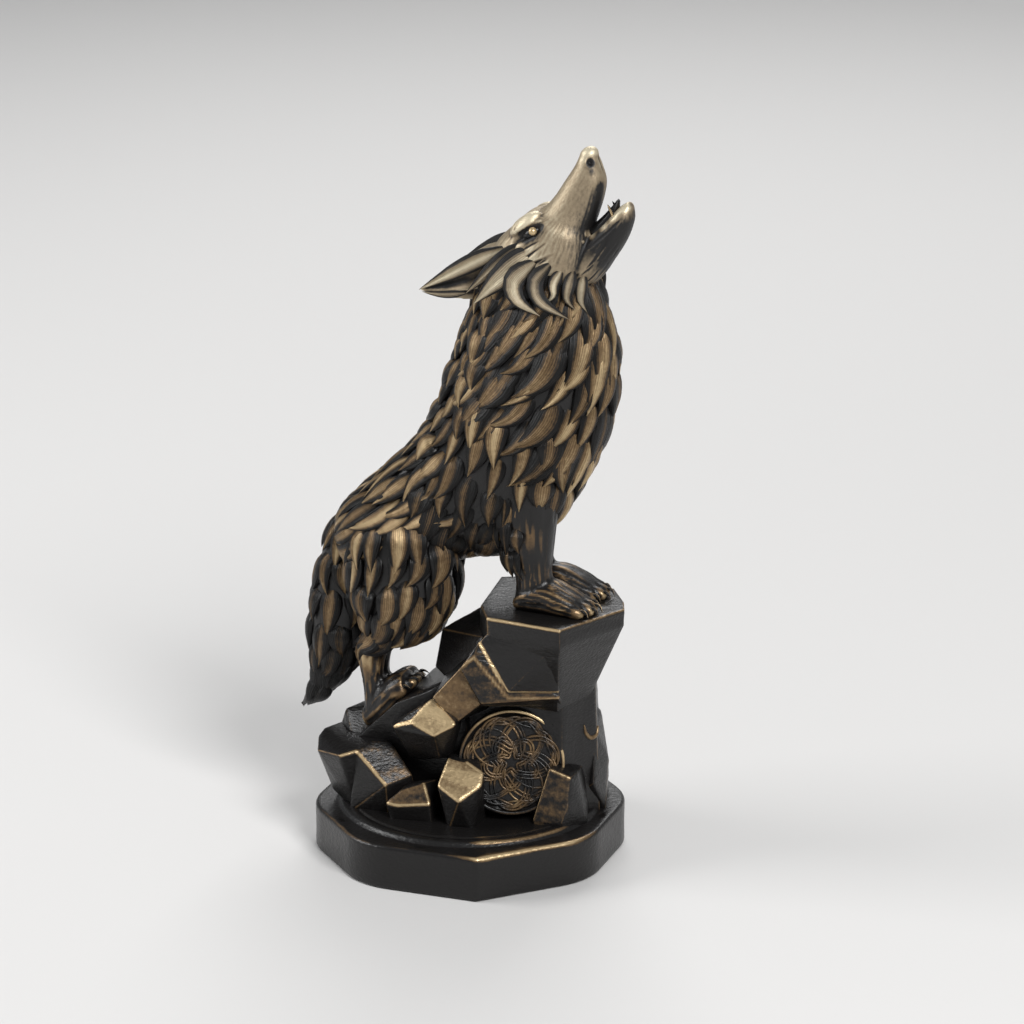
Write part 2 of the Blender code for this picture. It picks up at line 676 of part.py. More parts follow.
def ear_mesh(side):
    """A laid-back ear: a shell that is hollow on its outer side and runs out to a point."""
    root = wolf_point(8.0, side * 7.0, 92.6)
    tip = wolf_point(-10.2, side * 12.0, 88.6)
    run = (tip - root).normalized()
    opening = Vector((0.10, side * 0.94, -0.32))
    opening = (opening - run * opening.dot(run)).normalized()
    across = run.cross(opening)
    bm = bmesh.new()
    arc = 5
    loops = []
    for s, reach in ((-0.25, 5.6), (0.05, 7.2), (0.35, 6.4), (0.65, 4.3), (0.88, 2.0)):
        middle = root + (tip - root) * s
        depth = 0.62 * reach
        loop = []
        for k in range(arc + 1):
            a = math.pi * k / arc
            loop.append(bm.verts.new(middle + across * reach * math.cos(a) - opening * depth * math.sin(a)))
        for k in range(1, arc):
            a = math.pi * (1 - k / arc)
            inner = 1.0 - EAR_THICKNESS / 7.2
            offset = across * reach * inner * math.cos(a) - opening * depth * inner * math.sin(a)
            loop.append(bm.verts.new(middle + offset))
        loops.append(loop)
    count = len(loops[0])
    for lower, upper in zip(loops, loops[1:]):
        for j in range(count):
            k = (j + 1) % count
            bm.faces.new((lower[j], lower[k], upper[k], upper[j]))
    bm.faces.new(list(reversed(loops[0])))
    point = bm.verts.new(tip)
    for j in range(count):
        bm.faces.new((loops[-1][j], loops[-1][(j + 1) % count], point))
    bmesh.ops.recalc_face_normals(bm, faces=bm.faces)
    return bm


def tooth_mesh(x, y, z, height):
    """A canine tooth that stands on a jaw."""
    bm = bmesh.new()
    bmesh.ops.create_cone(bm, cap_ends=True, segments=6, radius1=0.75, radius2=0.12, depth=abs(height))
    turn = Matrix.Rotation(math.radians(-24.0 if height > 0 else 150.0), 4, "Y")
    bm.transform(Matrix.Translation(wolf_point(x, y, z)) @ turn)
    return bm


def wolf_meshes():
    """Every closed form of the wolf. They overlap, and are joined later."""
    torso = Skin(TORSO)
    yield torso.mesh(19, 14)
    yield Skin(SKULL, squareness=HEAD_SQUARENESS).mesh(15, 12)
    yield Skin(JAW).mesh(9, 10)
    yield Skin(TONGUE).mesh(5, 6)
    nose = (NOSE_RADIUS + 0.4, NOSE_RADIUS, NOSE_RADIUS - 0.2)
    yield ellipsoid_mesh(wolf_point(33.4, 0.0, 126.6), nose, 50.0)
    tail = Skin(TAIL)
    yield tail.mesh(11, 10)
    for coat in (NAPE, CHEST, SHOULDER, FLANK):
        yield from coat_meshes(torso, coat)
    yield from coat_meshes(tail, BRUSH)
    for side in (-1, 1):
        yield ear_mesh(side)
        yield from cheek_meshes(side)
        yield ellipsoid_mesh(wolf_point(16.4, side * 4.8, 106.3), (5.6, 3.8, 2.8), 44.0)
        yield ellipsoid_mesh(wolf_point(20.0, side * 8.4, 106.0), (EYE_RADIUS, 1.5, EYE_RADIUS * 0.6), 30.0)
        yield tooth_mesh(42.6, side * 2.6, 114.6, 4.0)
        step = FORE_STEP if side > 0 else 0.0
        paw_step = FORE_PAW_STEP if side > 0 else 0.0
        yield Skin(FORELEG, side * FORE_STANCE, back=step).mesh(10, 10)
        yield Skin(FOREPAW, side * FORE_STANCE, back=paw_step).mesh(7, 10)
        yield from toe_meshes((35.9 - paw_step, 1.5), side * FORE_STANCE, 0.0, 3.4)
        yield Skin(ELBOW_TUFT, side * FORE_STANCE, back=step).mesh(4, 6)
        step = HIND_STEP if side > 0 else 0.0
        drop = step * HIND_SLOPE
        thigh = Skin(THIGH, side * HIND_STANCE, back=step, down=drop)
        yield thigh.mesh(14, 10)
        yield from coat_meshes(thigh, HAUNCH, side)
        yield Skin(HINDPAW, side * HIND_STANCE, back=step, down=drop).mesh(7, 10)
        yield from toe_meshes((-16.4 - step, -26.4 - drop), side * HIND_STANCE, 43.0, 2.8)


def base_meshes():
    """Every closed form of the plinth, the rock pile and the medallion."""
    yield plinth_mesh()
    yield rock_mesh(fore_ledge())
    for rock in ROCKS:
        yield rock_mesh(rock)
    yield medallion_mesh()
    yield knot_mesh()


def joined(name, meshes):
    """One object that holds all of the closed meshes."""
    whole = bpy.data.meshes.new(name)
    bm = bmesh.new()
    for part in meshes:
        part.transform(Matrix.Scale(MM, 4))
        piece = bpy.data.meshes.new("piece")
        part.to_mesh(piece)
        part.free()
        bm.from_mesh(piece)
        bpy.data.meshes.remove(piece)
    bm.to_mesh(whole)
    bm.free()
    obj = bpy.data.objects.new(name, whole)
    bpy.context.scene.collection.objects.link(obj)
    return obj


def finish(obj):
    """Shading and the dark bronze paint."""
    paint = bpy.data.materials.new("black_bronze")
    paint.use_nodes = True
    shader = paint.node_tree.nodes["Principled BSDF"]
    shader.inputs["Base Color"].default_value = BLACK_BRONZE
    shader.inputs["Roughness"].default_value = 0.42
    shader.inputs["Metallic"].default_value = 0.35
    obj.data.materials.append(paint)


def applied(obj):
    """Make the result of the object's modifiers its own mesh."""
    evaluated = obj.evaluated_get(bpy.context.evaluated_depsgraph_get())
    whole = bpy.data.meshes.new_from_object(evaluated)
    obj.modifiers.clear()
    obj.data = whole


def merge(obj, tool):
    """Unite the object with the tool."""
    tool.hide_render = True
    tool.display_type = "WIRE"
    union = obj.modifiers.new("one_casting", "BOOLEAN")
    union.operation = "UNION"
    union.solver = "EXACT"
    union.use_self = True
    union.object = tool
    applied(obj)
    bpy.data.objects.remove(tool)


def outer_shell(obj):
    """Keep only the largest shell, so that no gap between the forms stays as a sealed hollow."""
    bm = bmesh.new()
    bm.from_mesh(obj.data)
    left = set(bm.faces)
    largest = set()
    while left:
        shell = set()
        front = {left.pop()}
        while front:
            shell |= front
            edges = {e for f in front for e in f.edges if len(e.link_faces) == 2}
            front = {f for e in edges for f in e.link_faces} - shell
        left -= shell
        largest = max(largest, shell, key=len)
    bmesh.ops.delete(bm, geom=[f for f in bm.faces if f not in largest], context="FACES")
    bmesh.ops.triangulate(bm, faces=bm.faces)
    bm.to_mesh(obj.data)
    bm.free()


def thin_out(obj):
    """Collapse the shortest edges that the unions left, down to the wanted number of triangles."""
    count = len(obj.data.polygons)
    if count > TRIANGLES:
        fewer = obj.modifiers.new("fewer_triangles", "DECIMATE")
        fewer.ratio = TRIANGLES / count
        applied(obj)


def main():
    for old in list(bpy.data.objects):
        bpy.data.objects.remove(old)
    base = joined("wolf_figurine", base_meshes())
    merge(base, joined("wolf_forms", wolf_meshes()))
    outer_shell(base)
    thin_out(base)
    outer_shell(base)
    finish(base)


main()
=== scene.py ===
"""Looks of the howling wolf figurine: fur, rock, boss and plinth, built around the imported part.

Lengths are millimetres until a mesh is handed to Blender in metres. +X is the way the wolf faces,
+Y its left side and +Z up. The wolf's own measures count x and z from the ledge under its forepaws.
"""

import logging
import math
from dataclasses import dataclass, field
from enum import Enum

import bmesh
import bpy
import numpy as np
from mathutils import Matrix, Vector
from mathutils.kdtree import KDTree


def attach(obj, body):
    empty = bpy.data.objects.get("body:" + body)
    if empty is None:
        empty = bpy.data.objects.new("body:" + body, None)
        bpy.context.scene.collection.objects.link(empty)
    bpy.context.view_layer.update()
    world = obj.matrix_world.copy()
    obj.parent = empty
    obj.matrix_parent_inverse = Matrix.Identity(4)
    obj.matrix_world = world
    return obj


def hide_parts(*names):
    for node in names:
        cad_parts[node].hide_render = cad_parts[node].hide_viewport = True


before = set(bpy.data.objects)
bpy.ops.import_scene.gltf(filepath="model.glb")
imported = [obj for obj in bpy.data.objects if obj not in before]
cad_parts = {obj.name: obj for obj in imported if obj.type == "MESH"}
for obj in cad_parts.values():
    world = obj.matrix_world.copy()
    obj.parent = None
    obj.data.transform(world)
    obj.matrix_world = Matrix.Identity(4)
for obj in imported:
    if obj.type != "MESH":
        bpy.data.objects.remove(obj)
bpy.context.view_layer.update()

log = logging.getLogger("wolf_figurine")

MM = 0.001
BODY = "root"
NODE = "wolf_figurine"

PLINTH_TOP = 13.8
FORE_LEDGE_TOP = 73.0
WOLF_MIDDLE = 2.0
RIGHT, LEFT = -1, 1


class Wear(Enum):
    """How freely the bronze is brushed over a surface."""

    SPARSE = 0.55
    EVEN = 0.42
    FULL = 0.28


class Nodes:
    """A node tree being built: makes nodes, sets their inputs and links them."""

    def __init__(self, tree: bpy.types.NodeTree) -> None:
        """Keep the tree.

        Args:
            tree: The tree to build in.
        """
        self.tree = tree

    def add(self, kind: str, inputs: dict | None = None, **settings: object) -> bpy.types.Node:
        """Make a node.

        Args:
            kind: Blender's name for the node type.
            inputs: Values or output sockets for its inputs, by name or index.
            **settings: Properties of the node.

        Returns:
            The node.
        """
        node = self.tree.nodes.new(kind)
        for name, value in settings.items():
            setattr(node, name, value)
        for key, value in (inputs or {}).items():
            socket = node.inputs[key]
            if isinstance(value, bpy.types.NodeSocket):
                self.tree.links.new(value, socket)
            else:
                socket.default_value = value
        return node

    def math(self, operation: str, *values: object, clamp: bool = False) -> bpy.types.NodeSocket:
        """Make a Math node and return its result."""
        inputs = dict(enumerate(values))
        return self.add("ShaderNodeMath", inputs, operation=operation, use_clamp=clamp).outputs[0]

    def vector(self, operation: str, *values: object) -> bpy.types.NodeSocket:
        """Make a Vector Math node and return its vector result."""
        return self.add("ShaderNodeVectorMath", dict(enumerate(values)), operation=operation).outputs[0]

    def ramp(self, value: bpy.types.NodeSocket, low: object, high: object) -> bpy.types.NodeSocket:
        """Ease a value from 0 at low to 1 at high.

        Args:
            value: What is eased.
            low: Value, or socket, that gives 0.
            high: Value, or socket, that gives 1.

        Returns:
            The eased value.
        """
        inputs = {"Value": value, "From Min": low, "From Max": high}
        node = self.add("ShaderNodeMapRange", inputs, interpolation_type="SMOOTHSTEP")
        return node.outputs["Result"]

    def named(self, name: str, kind: str = "FLOAT") -> bpy.types.NodeSocket:
        """Read a named attribute of a geometry."""
        node = self.add("GeometryNodeInputNamedAttribute", {"Name": name}, data_type=kind)
        return node.outputs["Attribute"]

    def store(self, geometry: bpy.types.NodeSocket, name: str, value: object) -> bpy.types.NodeSocket:
        """Store a number for every point of a geometry.

        Args:
            geometry: The geometry.
            name: Name of the attribute.
            value: The number, or a socket that gives it.

        Returns:
            The geometry with the attribute.
        """
        inputs = {"Geometry": geometry, "Name": name, "Value": value}
        node = self.add("GeometryNodeStoreNamedAttribute", inputs, data_type="FLOAT", domain="POINT")
        return node.outputs[0]

    def circle(self, sides: bpy.types.NodeSocket) -> bpy.types.NodeSocket:
        """Make a circle of radius 1."""
        inputs = {"Resolution": sides, "Radius": 1.0}
        return self.add("GeometryNodeCurvePrimitiveCircle", inputs, mode="RADIUS").outputs[0]

    def hand_out(self, geometry: bpy.types.NodeSocket, given: bpy.types.Node, out: bpy.types.Node) -> None:
        """End a geometry group: make its result real and dress it.

        Args:
            geometry: The result.
            given: The group's input node, which has the material.
            out: The group's output node.
        """
        real = self.add("GeometryNodeRealizeInstances", {0: geometry})
        inputs = {"Geometry": real.outputs[0], "Material": given.outputs["Material"]}
        dressed = self.add("GeometryNodeSetMaterial", inputs)
        self.tree.links.new(dressed.outputs[0], out.inputs["Geometry"])


def new_group(name: str, kind: str, inputs: dict, outputs: dict) -> tuple:
    """Start a node group with named sockets.

    Args:
        name: Name of the group.
        kind: Type of tree, shader or geometry.
        inputs: Socket type and default by input name.
        outputs: Socket type by output name.

    Returns:
        The node builder, the group's input node and its output node.
    """
    tree = bpy.data.node_groups.new(name, kind)
    for label, (socket_type, value) in inputs.items():
        socket = tree.interface.new_socket(label, in_out="INPUT", socket_type=socket_type)
        if value is not None:
            socket.default_value = value
    for label, socket_type in outputs.items():
        tree.interface.new_socket(label, in_out="OUTPUT", socket_type=socket_type)
    nodes = Nodes(tree)
    return nodes, nodes.add("NodeGroupInput"), nodes.add("NodeGroupOutput")


FLOAT = "NodeSocketFloat"
COLOR = "NodeSocketColor"
VECTOR = "NodeSocketVector"


def dry_brush_group() -> bpy.types.NodeTree:
    """Group that brushes bronze, and gold on the highest spots, over a dark coat.

    Returns:
        The shader group, with colour, roughness and metallic as outputs.
    """
    nodes, given, out = new_group(
        "dry_brush", "ShaderNodeTree",
        {
            "Wear And Light": (FLOAT, 0.0),
            "Start": (FLOAT, 0.4),
            "Softness": (FLOAT, 0.3),
            "Mottle Scale": (FLOAT, 900.0),
            "Mottle": (FLOAT, 0.25),
            "Streak": (FLOAT, 0.0),
            "Sheen": (FLOAT, 0.27),
            "Dark": (COLOR, (0.01, 0.01, 0.01, 1)),
            "Bronze": (COLOR, (0.2, 0.1, 0.04, 1)),
            "Gold": (COLOR, (0.6, 0.4, 0.18, 1)),
        },
        {"Color": COLOR, "Roughness": FLOAT, "Metallic": FLOAT},
    )
    place = nodes.add("ShaderNodeTexCoord").outputs["Object"]
    fine = nodes.add("ShaderNodeTexNoise", {
        "Vector": place, "Scale": given.outputs["Mottle Scale"], "Detail": 6.0, "Roughness": 0.62,
    })
    wide = nodes.add("ShaderNodeTexNoise", {"Vector": place, "Scale": 95.0, "Detail": 3.0})
    blotch = nodes.math("ADD", nodes.math("SUBTRACT", fine.outputs["Fac"], 0.5),
                        nodes.math("MULTIPLY", nodes.math("SUBTRACT", wide.outputs["Fac"], 0.5), 0.9))
    level = nodes.math("MULTIPLY_ADD", blotch, given.outputs["Mottle"], given.outputs["Wear And Light"])
    level = nodes.math("MULTIPLY_ADD", given.outputs["Streak"], 0.13, level)
    start = given.outputs["Start"]
    full = nodes.math("ADD", start, given.outputs["Softness"])
    bronze = nodes.ramp(level, start, full)
    gold = nodes.ramp(level, nodes.math("MULTIPLY_ADD", given.outputs["Softness"], 0.75, start),
                      nodes.math("MULTIPLY_ADD", given.outputs["Softness"], 2.0, start))
    tint = nodes.add("ShaderNodeMix", {0: bronze, 6: given.outputs["Dark"], 7: given.outputs["Bronze"]},
                     data_type="RGBA")
    colour = nodes.add("ShaderNodeMix", {0: gold, 6: tint.outputs[2], 7: given.outputs["Gold"]},
                       data_type="RGBA")
    rough = nodes.math("MULTIPLY_ADD", fine.outputs["Fac"], 0.16, given.outputs["Sheen"])
    metal = nodes.math("MULTIPLY_ADD", bronze, 0.55, 0.04)
    nodes.tree.links.new(colour.outputs[2], out.inputs["Color"])
    nodes.tree.links.new(rough, out.inputs["Roughness"])
    nodes.tree.links.new(metal, out.inputs["Metallic"])
    return nodes.tree


def casting_grain_group() -> bpy.types.NodeTree:
    """Group for the fine uneven skin of the casting.

    Returns:
        The shader group, with the height of the grain as output.
    """
    nodes, given, out = new_group(
        "casting_grain", "ShaderNodeTree",
        {"Scale": (FLOAT, 1500.0), "Stretch": (VECTOR, (1.0, 1.0, 1.0)), "Pits": (FLOAT, 0.3),
         "Streak": (FLOAT, 0.0)},
        {"Height": FLOAT},
    )
    place = nodes.add("ShaderNodeTexCoord").outputs["Object"]
    stretched = nodes.vector("MULTIPLY", place, given.outputs["Stretch"])
    grain = nodes.add("ShaderNodeTexNoise",
                      {"Vector": stretched, "Scale": given.outputs["Scale"], "Detail": 4.0})
    pits = nodes.add("ShaderNodeTexVoronoi", {"Vector": place, "Scale": given.outputs["Scale"]})
    height = nodes.math("MULTIPLY_ADD", pits.outputs["Distance"], given.outputs["Pits"], grain.outputs["Fac"])
    height = nodes.math("MULTIPLY_ADD", given.outputs["Streak"], 0.9, height)
    nodes.tree.links.new(height, out.inputs["Height"])
    return nodes.tree


def hair_streaks_group() -> bpy.types.NodeTree:
    """Group for fine hairs that run along a lock, from how far across the lock a point lies.

    Returns:
        The shader group, with the streak from -1 to 1 as output.
    """
    nodes, given, out = new_group("hair_streaks", "ShaderNodeTree",
                                  {"Across": (FLOAT, 0.0), "Count": (FLOAT, 40.0), "Waver": (FLOAT, 5.0)},
                                  {"Streak": FLOAT})
    place = nodes.add("ShaderNodeTexCoord").outputs["Object"]
    drift = nodes.add("ShaderNodeTexNoise", {"Vector": place, "Scale": 160.0, "Detail": 2.0})
    bent = nodes.math("MULTIPLY", drift.outputs["Fac"], given.outputs["Waver"])
    turns = nodes.math("MULTIPLY_ADD", given.outputs["Across"], given.outputs["Count"], bent)
    coarse = nodes.math("SINE", turns)
    fine = nodes.math("SINE", nodes.math("MULTIPLY", turns, 2.37))
    streak = nodes.math("MULTIPLY_ADD", fine, 0.45, nodes.math("MULTIPLY", coarse, 0.55))
    amount = nodes.ramp(nodes.math("ABSOLUTE", given.outputs["Across"]), 0.0, 0.02)
    nodes.tree.links.new(nodes.math("MULTIPLY", streak, amount), out.inputs["Streak"])
    return nodes.tree


@dataclass(frozen=True)
class Finish:
    """A painted finish: satin black with bronze brushed over what stands out."""

    name: str
    wear: Wear = Wear.EVEN
    softness: float = 0.3
    dark: tuple = (0.0075, 0.0068, 0.0066, 1.0)
    bronze: tuple = (0.165, 0.104, 0.052, 1.0)
    gold: tuple = (0.55, 0.41, 0.23, 1.0)
    mottle: float = 0.25
    mottle_scale: float = 900.0
    grain_scale: float = 1500.0
    grain_stretch: tuple = (1.0, 1.0, 1.0)
    grain_depth: float = 0.12
    shine: float = 0.4
    sheen: float = 0.25

    def material(self, groups: dict) -> bpy.types.Material:
        """Build the material.

        Args:
            groups: The shared shader groups by name.

        Returns:
            The material.
        """
        material = bpy.data.materials.new(self.name)
        material.use_nodes = True
        nodes = Nodes(material.node_tree)
        shader = material.node_tree.nodes["Principled BSDF"]
        shader.inputs["Specular IOR Level"].default_value = self.shine
        # the wear, with its painted light and shade, as stored on each piece
        worn = nodes.add("ShaderNodeAttribute", attribute_name="worn").outputs["Fac"]
        across = nodes.add("ShaderNodeAttribute", attribute_name="across").outputs["Fac"]
        hairs = nodes.add("ShaderNodeGroup", {"Across": across}, node_tree=groups["hair_streaks"])
        streak = hairs.outputs["Streak"]
        brush = nodes.add("ShaderNodeGroup", {
            "Wear And Light": worn, "Streak": streak, "Start": self.wear.value, "Softness": self.softness,
            "Mottle Scale": self.mottle_scale, "Mottle": self.mottle, "Sheen": self.sheen,
            "Dark": self.dark, "Bronze": self.bronze, "Gold": self.gold,
        }, node_tree=groups["dry_brush"])
        grain = nodes.add("ShaderNodeGroup", {
            "Scale": self.grain_scale, "Stretch": self.grain_stretch, "Streak": streak,
        }, node_tree=groups["casting_grain"])
        bump = nodes.add("ShaderNodeBump", {"Height": grain.outputs["Height"], "Strength": 1.0,
                                            "Distance": self.grain_depth * MM})
        nodes.tree.links.new(brush.outputs["Color"], shader.inputs["Base Color"])
        nodes.tree.links.new(brush.outputs["Roughness"], shader.inputs["Roughness"])
        nodes.tree.links.new(brush.outputs["Metallic"], shader.inputs["Metallic"])
        nodes.tree.links.new(bump.outputs["Normal"], shader.inputs["Normal"])
        return material


@dataclass
class Shape:
    """A mesh in the making: points in millimetres, faces and a value of wear and painted light for each
    point.
    """

    points: np.ndarray
    faces: list
    worn: np.ndarray | None = None

    def mesh(self, name: str) -> bpy.types.Mesh:
        """Make it a Blender mesh in metres.

        Args:
            name: Name of the mesh.

        Returns:
            The mesh, with its wear and painted light.
        """
        mesh = bpy.data.meshes.new(name)
        mesh.from_pydata((self.points * MM).tolist(), [], [tuple(f) for f in self.faces])
        if self.worn is not None:
            layer = mesh.attributes.new("worn", "FLOAT", "POINT")
            layer.data.foreach_set("value", self.worn.astype(np.float32))
        return mesh


def joined(shapes: list) -> Shape:
    """Put several shapes into one, keeping their wear and painted light.

    Args:
        shapes: The shapes.

    Returns:
        The whole shape.
    """
    points, faces, worn, start = [], [], [], 0
    for shape in shapes:
        points.append(shape.points)
        faces += [tuple(i + start for i in f) for f in shape.faces]
        worn.append(np.zeros(len(shape.points)) if shape.worn is None else shape.worn)
        start += len(shape.points)
    return Shape(np.concatenate(points), faces, np.concatenate(worn))


def from_bmesh(bm: bmesh.types.BMesh) -> Shape:
    """Take over a bmesh whose lengths are millimetres, and free it.

    Args:
        bm: The bmesh.

    Returns:
        The shape, without wear.
    """
    bm.verts.index_update()
    shape = Shape(np.array([v.co[:] for v in bm.verts]), [tuple(v.index for v in f.verts) for f in bm.faces])
    bm.free()
    return shape


def lathe(rings: list) -> Shape:
    """Skin a row of rings that have equally many points, and close both ends with a fan.

    Args:
        rings: Arrays of points, one for each ring.

    Returns:
        The closed shape.
    """
    count = len(rings[0])
    points = [np.asarray(r, float) for r in rings]
    faces = []
    for i in range(len(rings) - 1):
        for j in range(count):
            k = (j + 1) % count
            faces.append((i * count + j, i * count + k, (i + 1) * count + k, (i + 1) * count + j))
    total = count * len(rings)
    last = total - count
    points += [points[0].mean(axis=0)[None], points[-1].mean(axis=0)[None]]
    faces += [((j + 1) % count, j, total) for j in range(count)]
    faces += [(last + j, last + (j + 1) % count, total + 1) for j in range(count)]
    return Shape(np.concatenate(points), faces)


def ellipsoid(centre: tuple, radii: tuple, tilt: float = 0.0, segments: int = 20) -> Shape:
    """An ellipsoid, tilted upwards from +X.

    Args:
        centre: Its middle.
        radii: Its three radii.
        tilt: Its tilt, in degrees.
        segments: Number of points round it.

    Returns:
        The closed shape.
    """
    bm = bmesh.new()
    bmesh.ops.create_uvsphere(bm, u_segments=segments, v_segments=segments // 2, radius=1.0)
    turn = Matrix.Rotation(math.radians(-tilt), 4, "Y")
    bm.transform(Matrix.Translation(centre) @ turn @ Matrix.Diagonal((*radii, 1.0)))
    return from_bmesh(bm)


def show(obj: bpy.types.Object, material: bpy.types.Material) -> bpy.types.Object:
    """Dress a finished piece, ride it on the body and hide the imported part.

    Args:
        obj: The piece.
        material: Its finish, unless it has one.

    Returns:
        The piece.
    """
    if not obj.data.materials:
        obj.data.materials.append(material)
    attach(obj, BODY)
    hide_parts(NODE)
    log.info("%s: %d faces", obj.name, len(obj.data.polygons))
    return obj


def place(name: str, mesh: bpy.types.Mesh) -> bpy.types.Object:
    """Put a mesh into the scene as an object at the origin.

    Args:
        name: Name of the object.
        mesh: The mesh, in metres.

    Returns:
        The object, smoothly shaded.
    """
    mesh.name = name
    mesh.polygons.foreach_set("use_smooth", [True] * len(mesh.polygons))
    obj = bpy.data.objects.new(name, mesh)
    bpy.context.scene.collection.objects.link(obj)
    return obj


def evaluated(obj: bpy.types.Object) -> bpy.types.Mesh:
    """The object's mesh with its modifiers applied."""
    graph = bpy.context.evaluated_depsgraph_get()
    return bpy.data.meshes.new_from_object(obj.evaluated_get(graph))


def blended(shapes: list, voxel: float, rounds: int) -> bpy.types.Mesh:
    """Melt overlapping closed shapes into one skin.

    Args:
        shapes: The closed shapes.
        voxel: Fineness of the skin, in mm.
        rounds: How often the skin is smoothed.

    Returns:
        The mesh, with its lengths still in millimetres.
    """
    whole = joined(shapes)
    mesh = bpy.data.meshes.new("melt")
    mesh.from_pydata(whole.points.tolist(), [], whole.faces)
    obj = bpy.data.objects.new("melt", mesh)
    bpy.context.scene.collection.objects.link(obj)
    skin = obj.modifiers.new("skin", "REMESH")
    skin.mode = "VOXEL"
    skin.voxel_size = voxel
    soften = obj.modifiers.new("soften", "SMOOTH")
    soften.iterations = rounds
    result = evaluated(obj)
    bpy.data.objects.remove(obj)
    return result


class Skin:
    """Points, normals and edges of a mesh as arrays, for carving and for reading its relief."""

    def __init__(self, mesh: bpy.types.Mesh) -> None:
        """Read the mesh.

        Args:
            mesh: The mesh, with its lengths in millimetres.
        """
        self.mesh = mesh
        count = len(mesh.vertices)
        points = np.empty(count * 3)
        mesh.vertices.foreach_get("co", points)
        self.points = points.reshape(-1, 3)
        edges = np.empty(len(mesh.edges) * 2, np.int64)
        mesh.edges.foreach_get("vertices", edges)
        self.edges = edges.reshape(-1, 2)
        self.degree = np.bincount(self.edges.ravel(), minlength=count).clip(1)[:, None]

    def normals(self) -> np.ndarray:
        """Outward normals at the mesh's points.

        Returns:
            An array of (point, 3).
        """
        values = np.empty(len(self.mesh.vertices) * 3)
        self.mesh.vertex_normals.foreach_get("vector", values)
        return values.reshape(-1, 3)

    def mean(self, values: np.ndarray) -> np.ndarray:
        """Average of each point's neighbours.

        Args:
            values: Array of (point, value).

        Returns:
            The averages, in the same form.
        """
        a, b = self.edges[:, 0], self.edges[:, 1]
        total = np.empty_like(values)
        for k in range(values.shape[1]):
            total[:, k] = (
                np.bincount(a, values[b, k], minlength=len(values))
                + np.bincount(b, values[a, k], minlength=len(values))
            )
        return total / self.degree

    def relief(self, rounds: int, reach: float) -> np.ndarray:
        """How far each point stands above its smoothed surroundings, as a share of reach.

        Args:
            rounds: How often the surroundings are smoothed.
            reach: The height that counts as 1.

        Returns:
            An array with one value for each point.
        """
        soft = self.points.copy()
        for _ in range(rounds):
            soft = 0.5 * soft + 0.5 * self.mean(soft)
        return ((self.points - soft) * self.normals()).sum(axis=1) / reach

    def update(self) -> None:
        """Write the moved points back to the mesh."""
        self.mesh.vertices.foreach_set("co", self.points.ravel())
        self.mesh.update()

    def carve(self, strokes: list) -> None:
        """Cut grooves into the skin and raise ridges on it.

        Args:
            strokes: The strokes to carve.
        """
        tree = KDTree(len(self.points))
        for i, point in enumerate(self.points):
            tree.insert(point, i)
        tree.balance()
        move = np.zeros(len(self.points))
        for stroke in strokes:
            path = stroke.fine_path()
            for s, point in zip(np.linspace(0.0, 1.0, len(path)), path):
                taper = math.sin(math.pi * min(max(0.06 + 0.88 * s, 0.0), 1.0)) ** 0.6
                width = stroke.width * (0.55 + 0.45 * taper)
                for _, i, gap in tree.find_range(point, 1.8 * width):
                    depth = stroke.depth * taper * math.exp(-(gap / width) ** 2 * 1.6)
                    if abs(depth) > abs(move[i]):
                        move[i] = depth
        self.points += self.normals() * move[:, None]
        self.update()

    def wear(self, values: np.ndarray) -> None:
        """Store the wear of each point on the mesh, with any painted light and shade in it."""
        layer = self.mesh.attributes.get("worn") or self.mesh.attributes.new("worn", "FLOAT", "POINT")
        layer.data.foreach_set("value", values.astype(np.float32))


@dataclass(frozen=True)
class Stroke:
    """A carved line: positive depth raises a ridge, negative depth cuts a groove."""

    path: tuple
    width: float
    depth: float

    def fine_path(self) -> np.ndarray:
        """Points along the stroke, close together and rounded at its bends.

        Returns:
            An array of (point, 3).
        """
        points = [Vector(p) for p in self.path]
        fine = []
        for i in range(len(points) - 1):
            before = points[i - 1] if i else 2 * points[0] - points[1]
            after = points[i + 2] if i + 2 < len(points) else 2 * points[-1] - points[-2]
            a, b = points[i], points[i + 1]
            steps = max(int((b - a).length / (0.45 * self.width)), 1)
            for k in range(steps):
                t = k / steps
                fine.append(0.5 * (2 * a + (b - before) * t + (2 * before - 5 * a + 4 * b - after) * t**2
                                   + (3 * a - before - 3 * b + after) * t**3))
        return np.array([p[:] for p in fine + [points[-1]]])


def wolf(x: float, y: float, z: float) -> tuple:
    """A point of the wolf: y from its middle plane, x and z from the fore ledge."""
    return (x, WOLF_MIDDLE + y, FORE_LEDGE_TOP + z)


@dataclass(frozen=True)
class Flow:
    """Which way the fur runs: along the limb, pulled down by droop and turned aside by sweep degrees."""

    sense: float = -1.0
    droop: float = 0.0
    sweep: float = 0.0


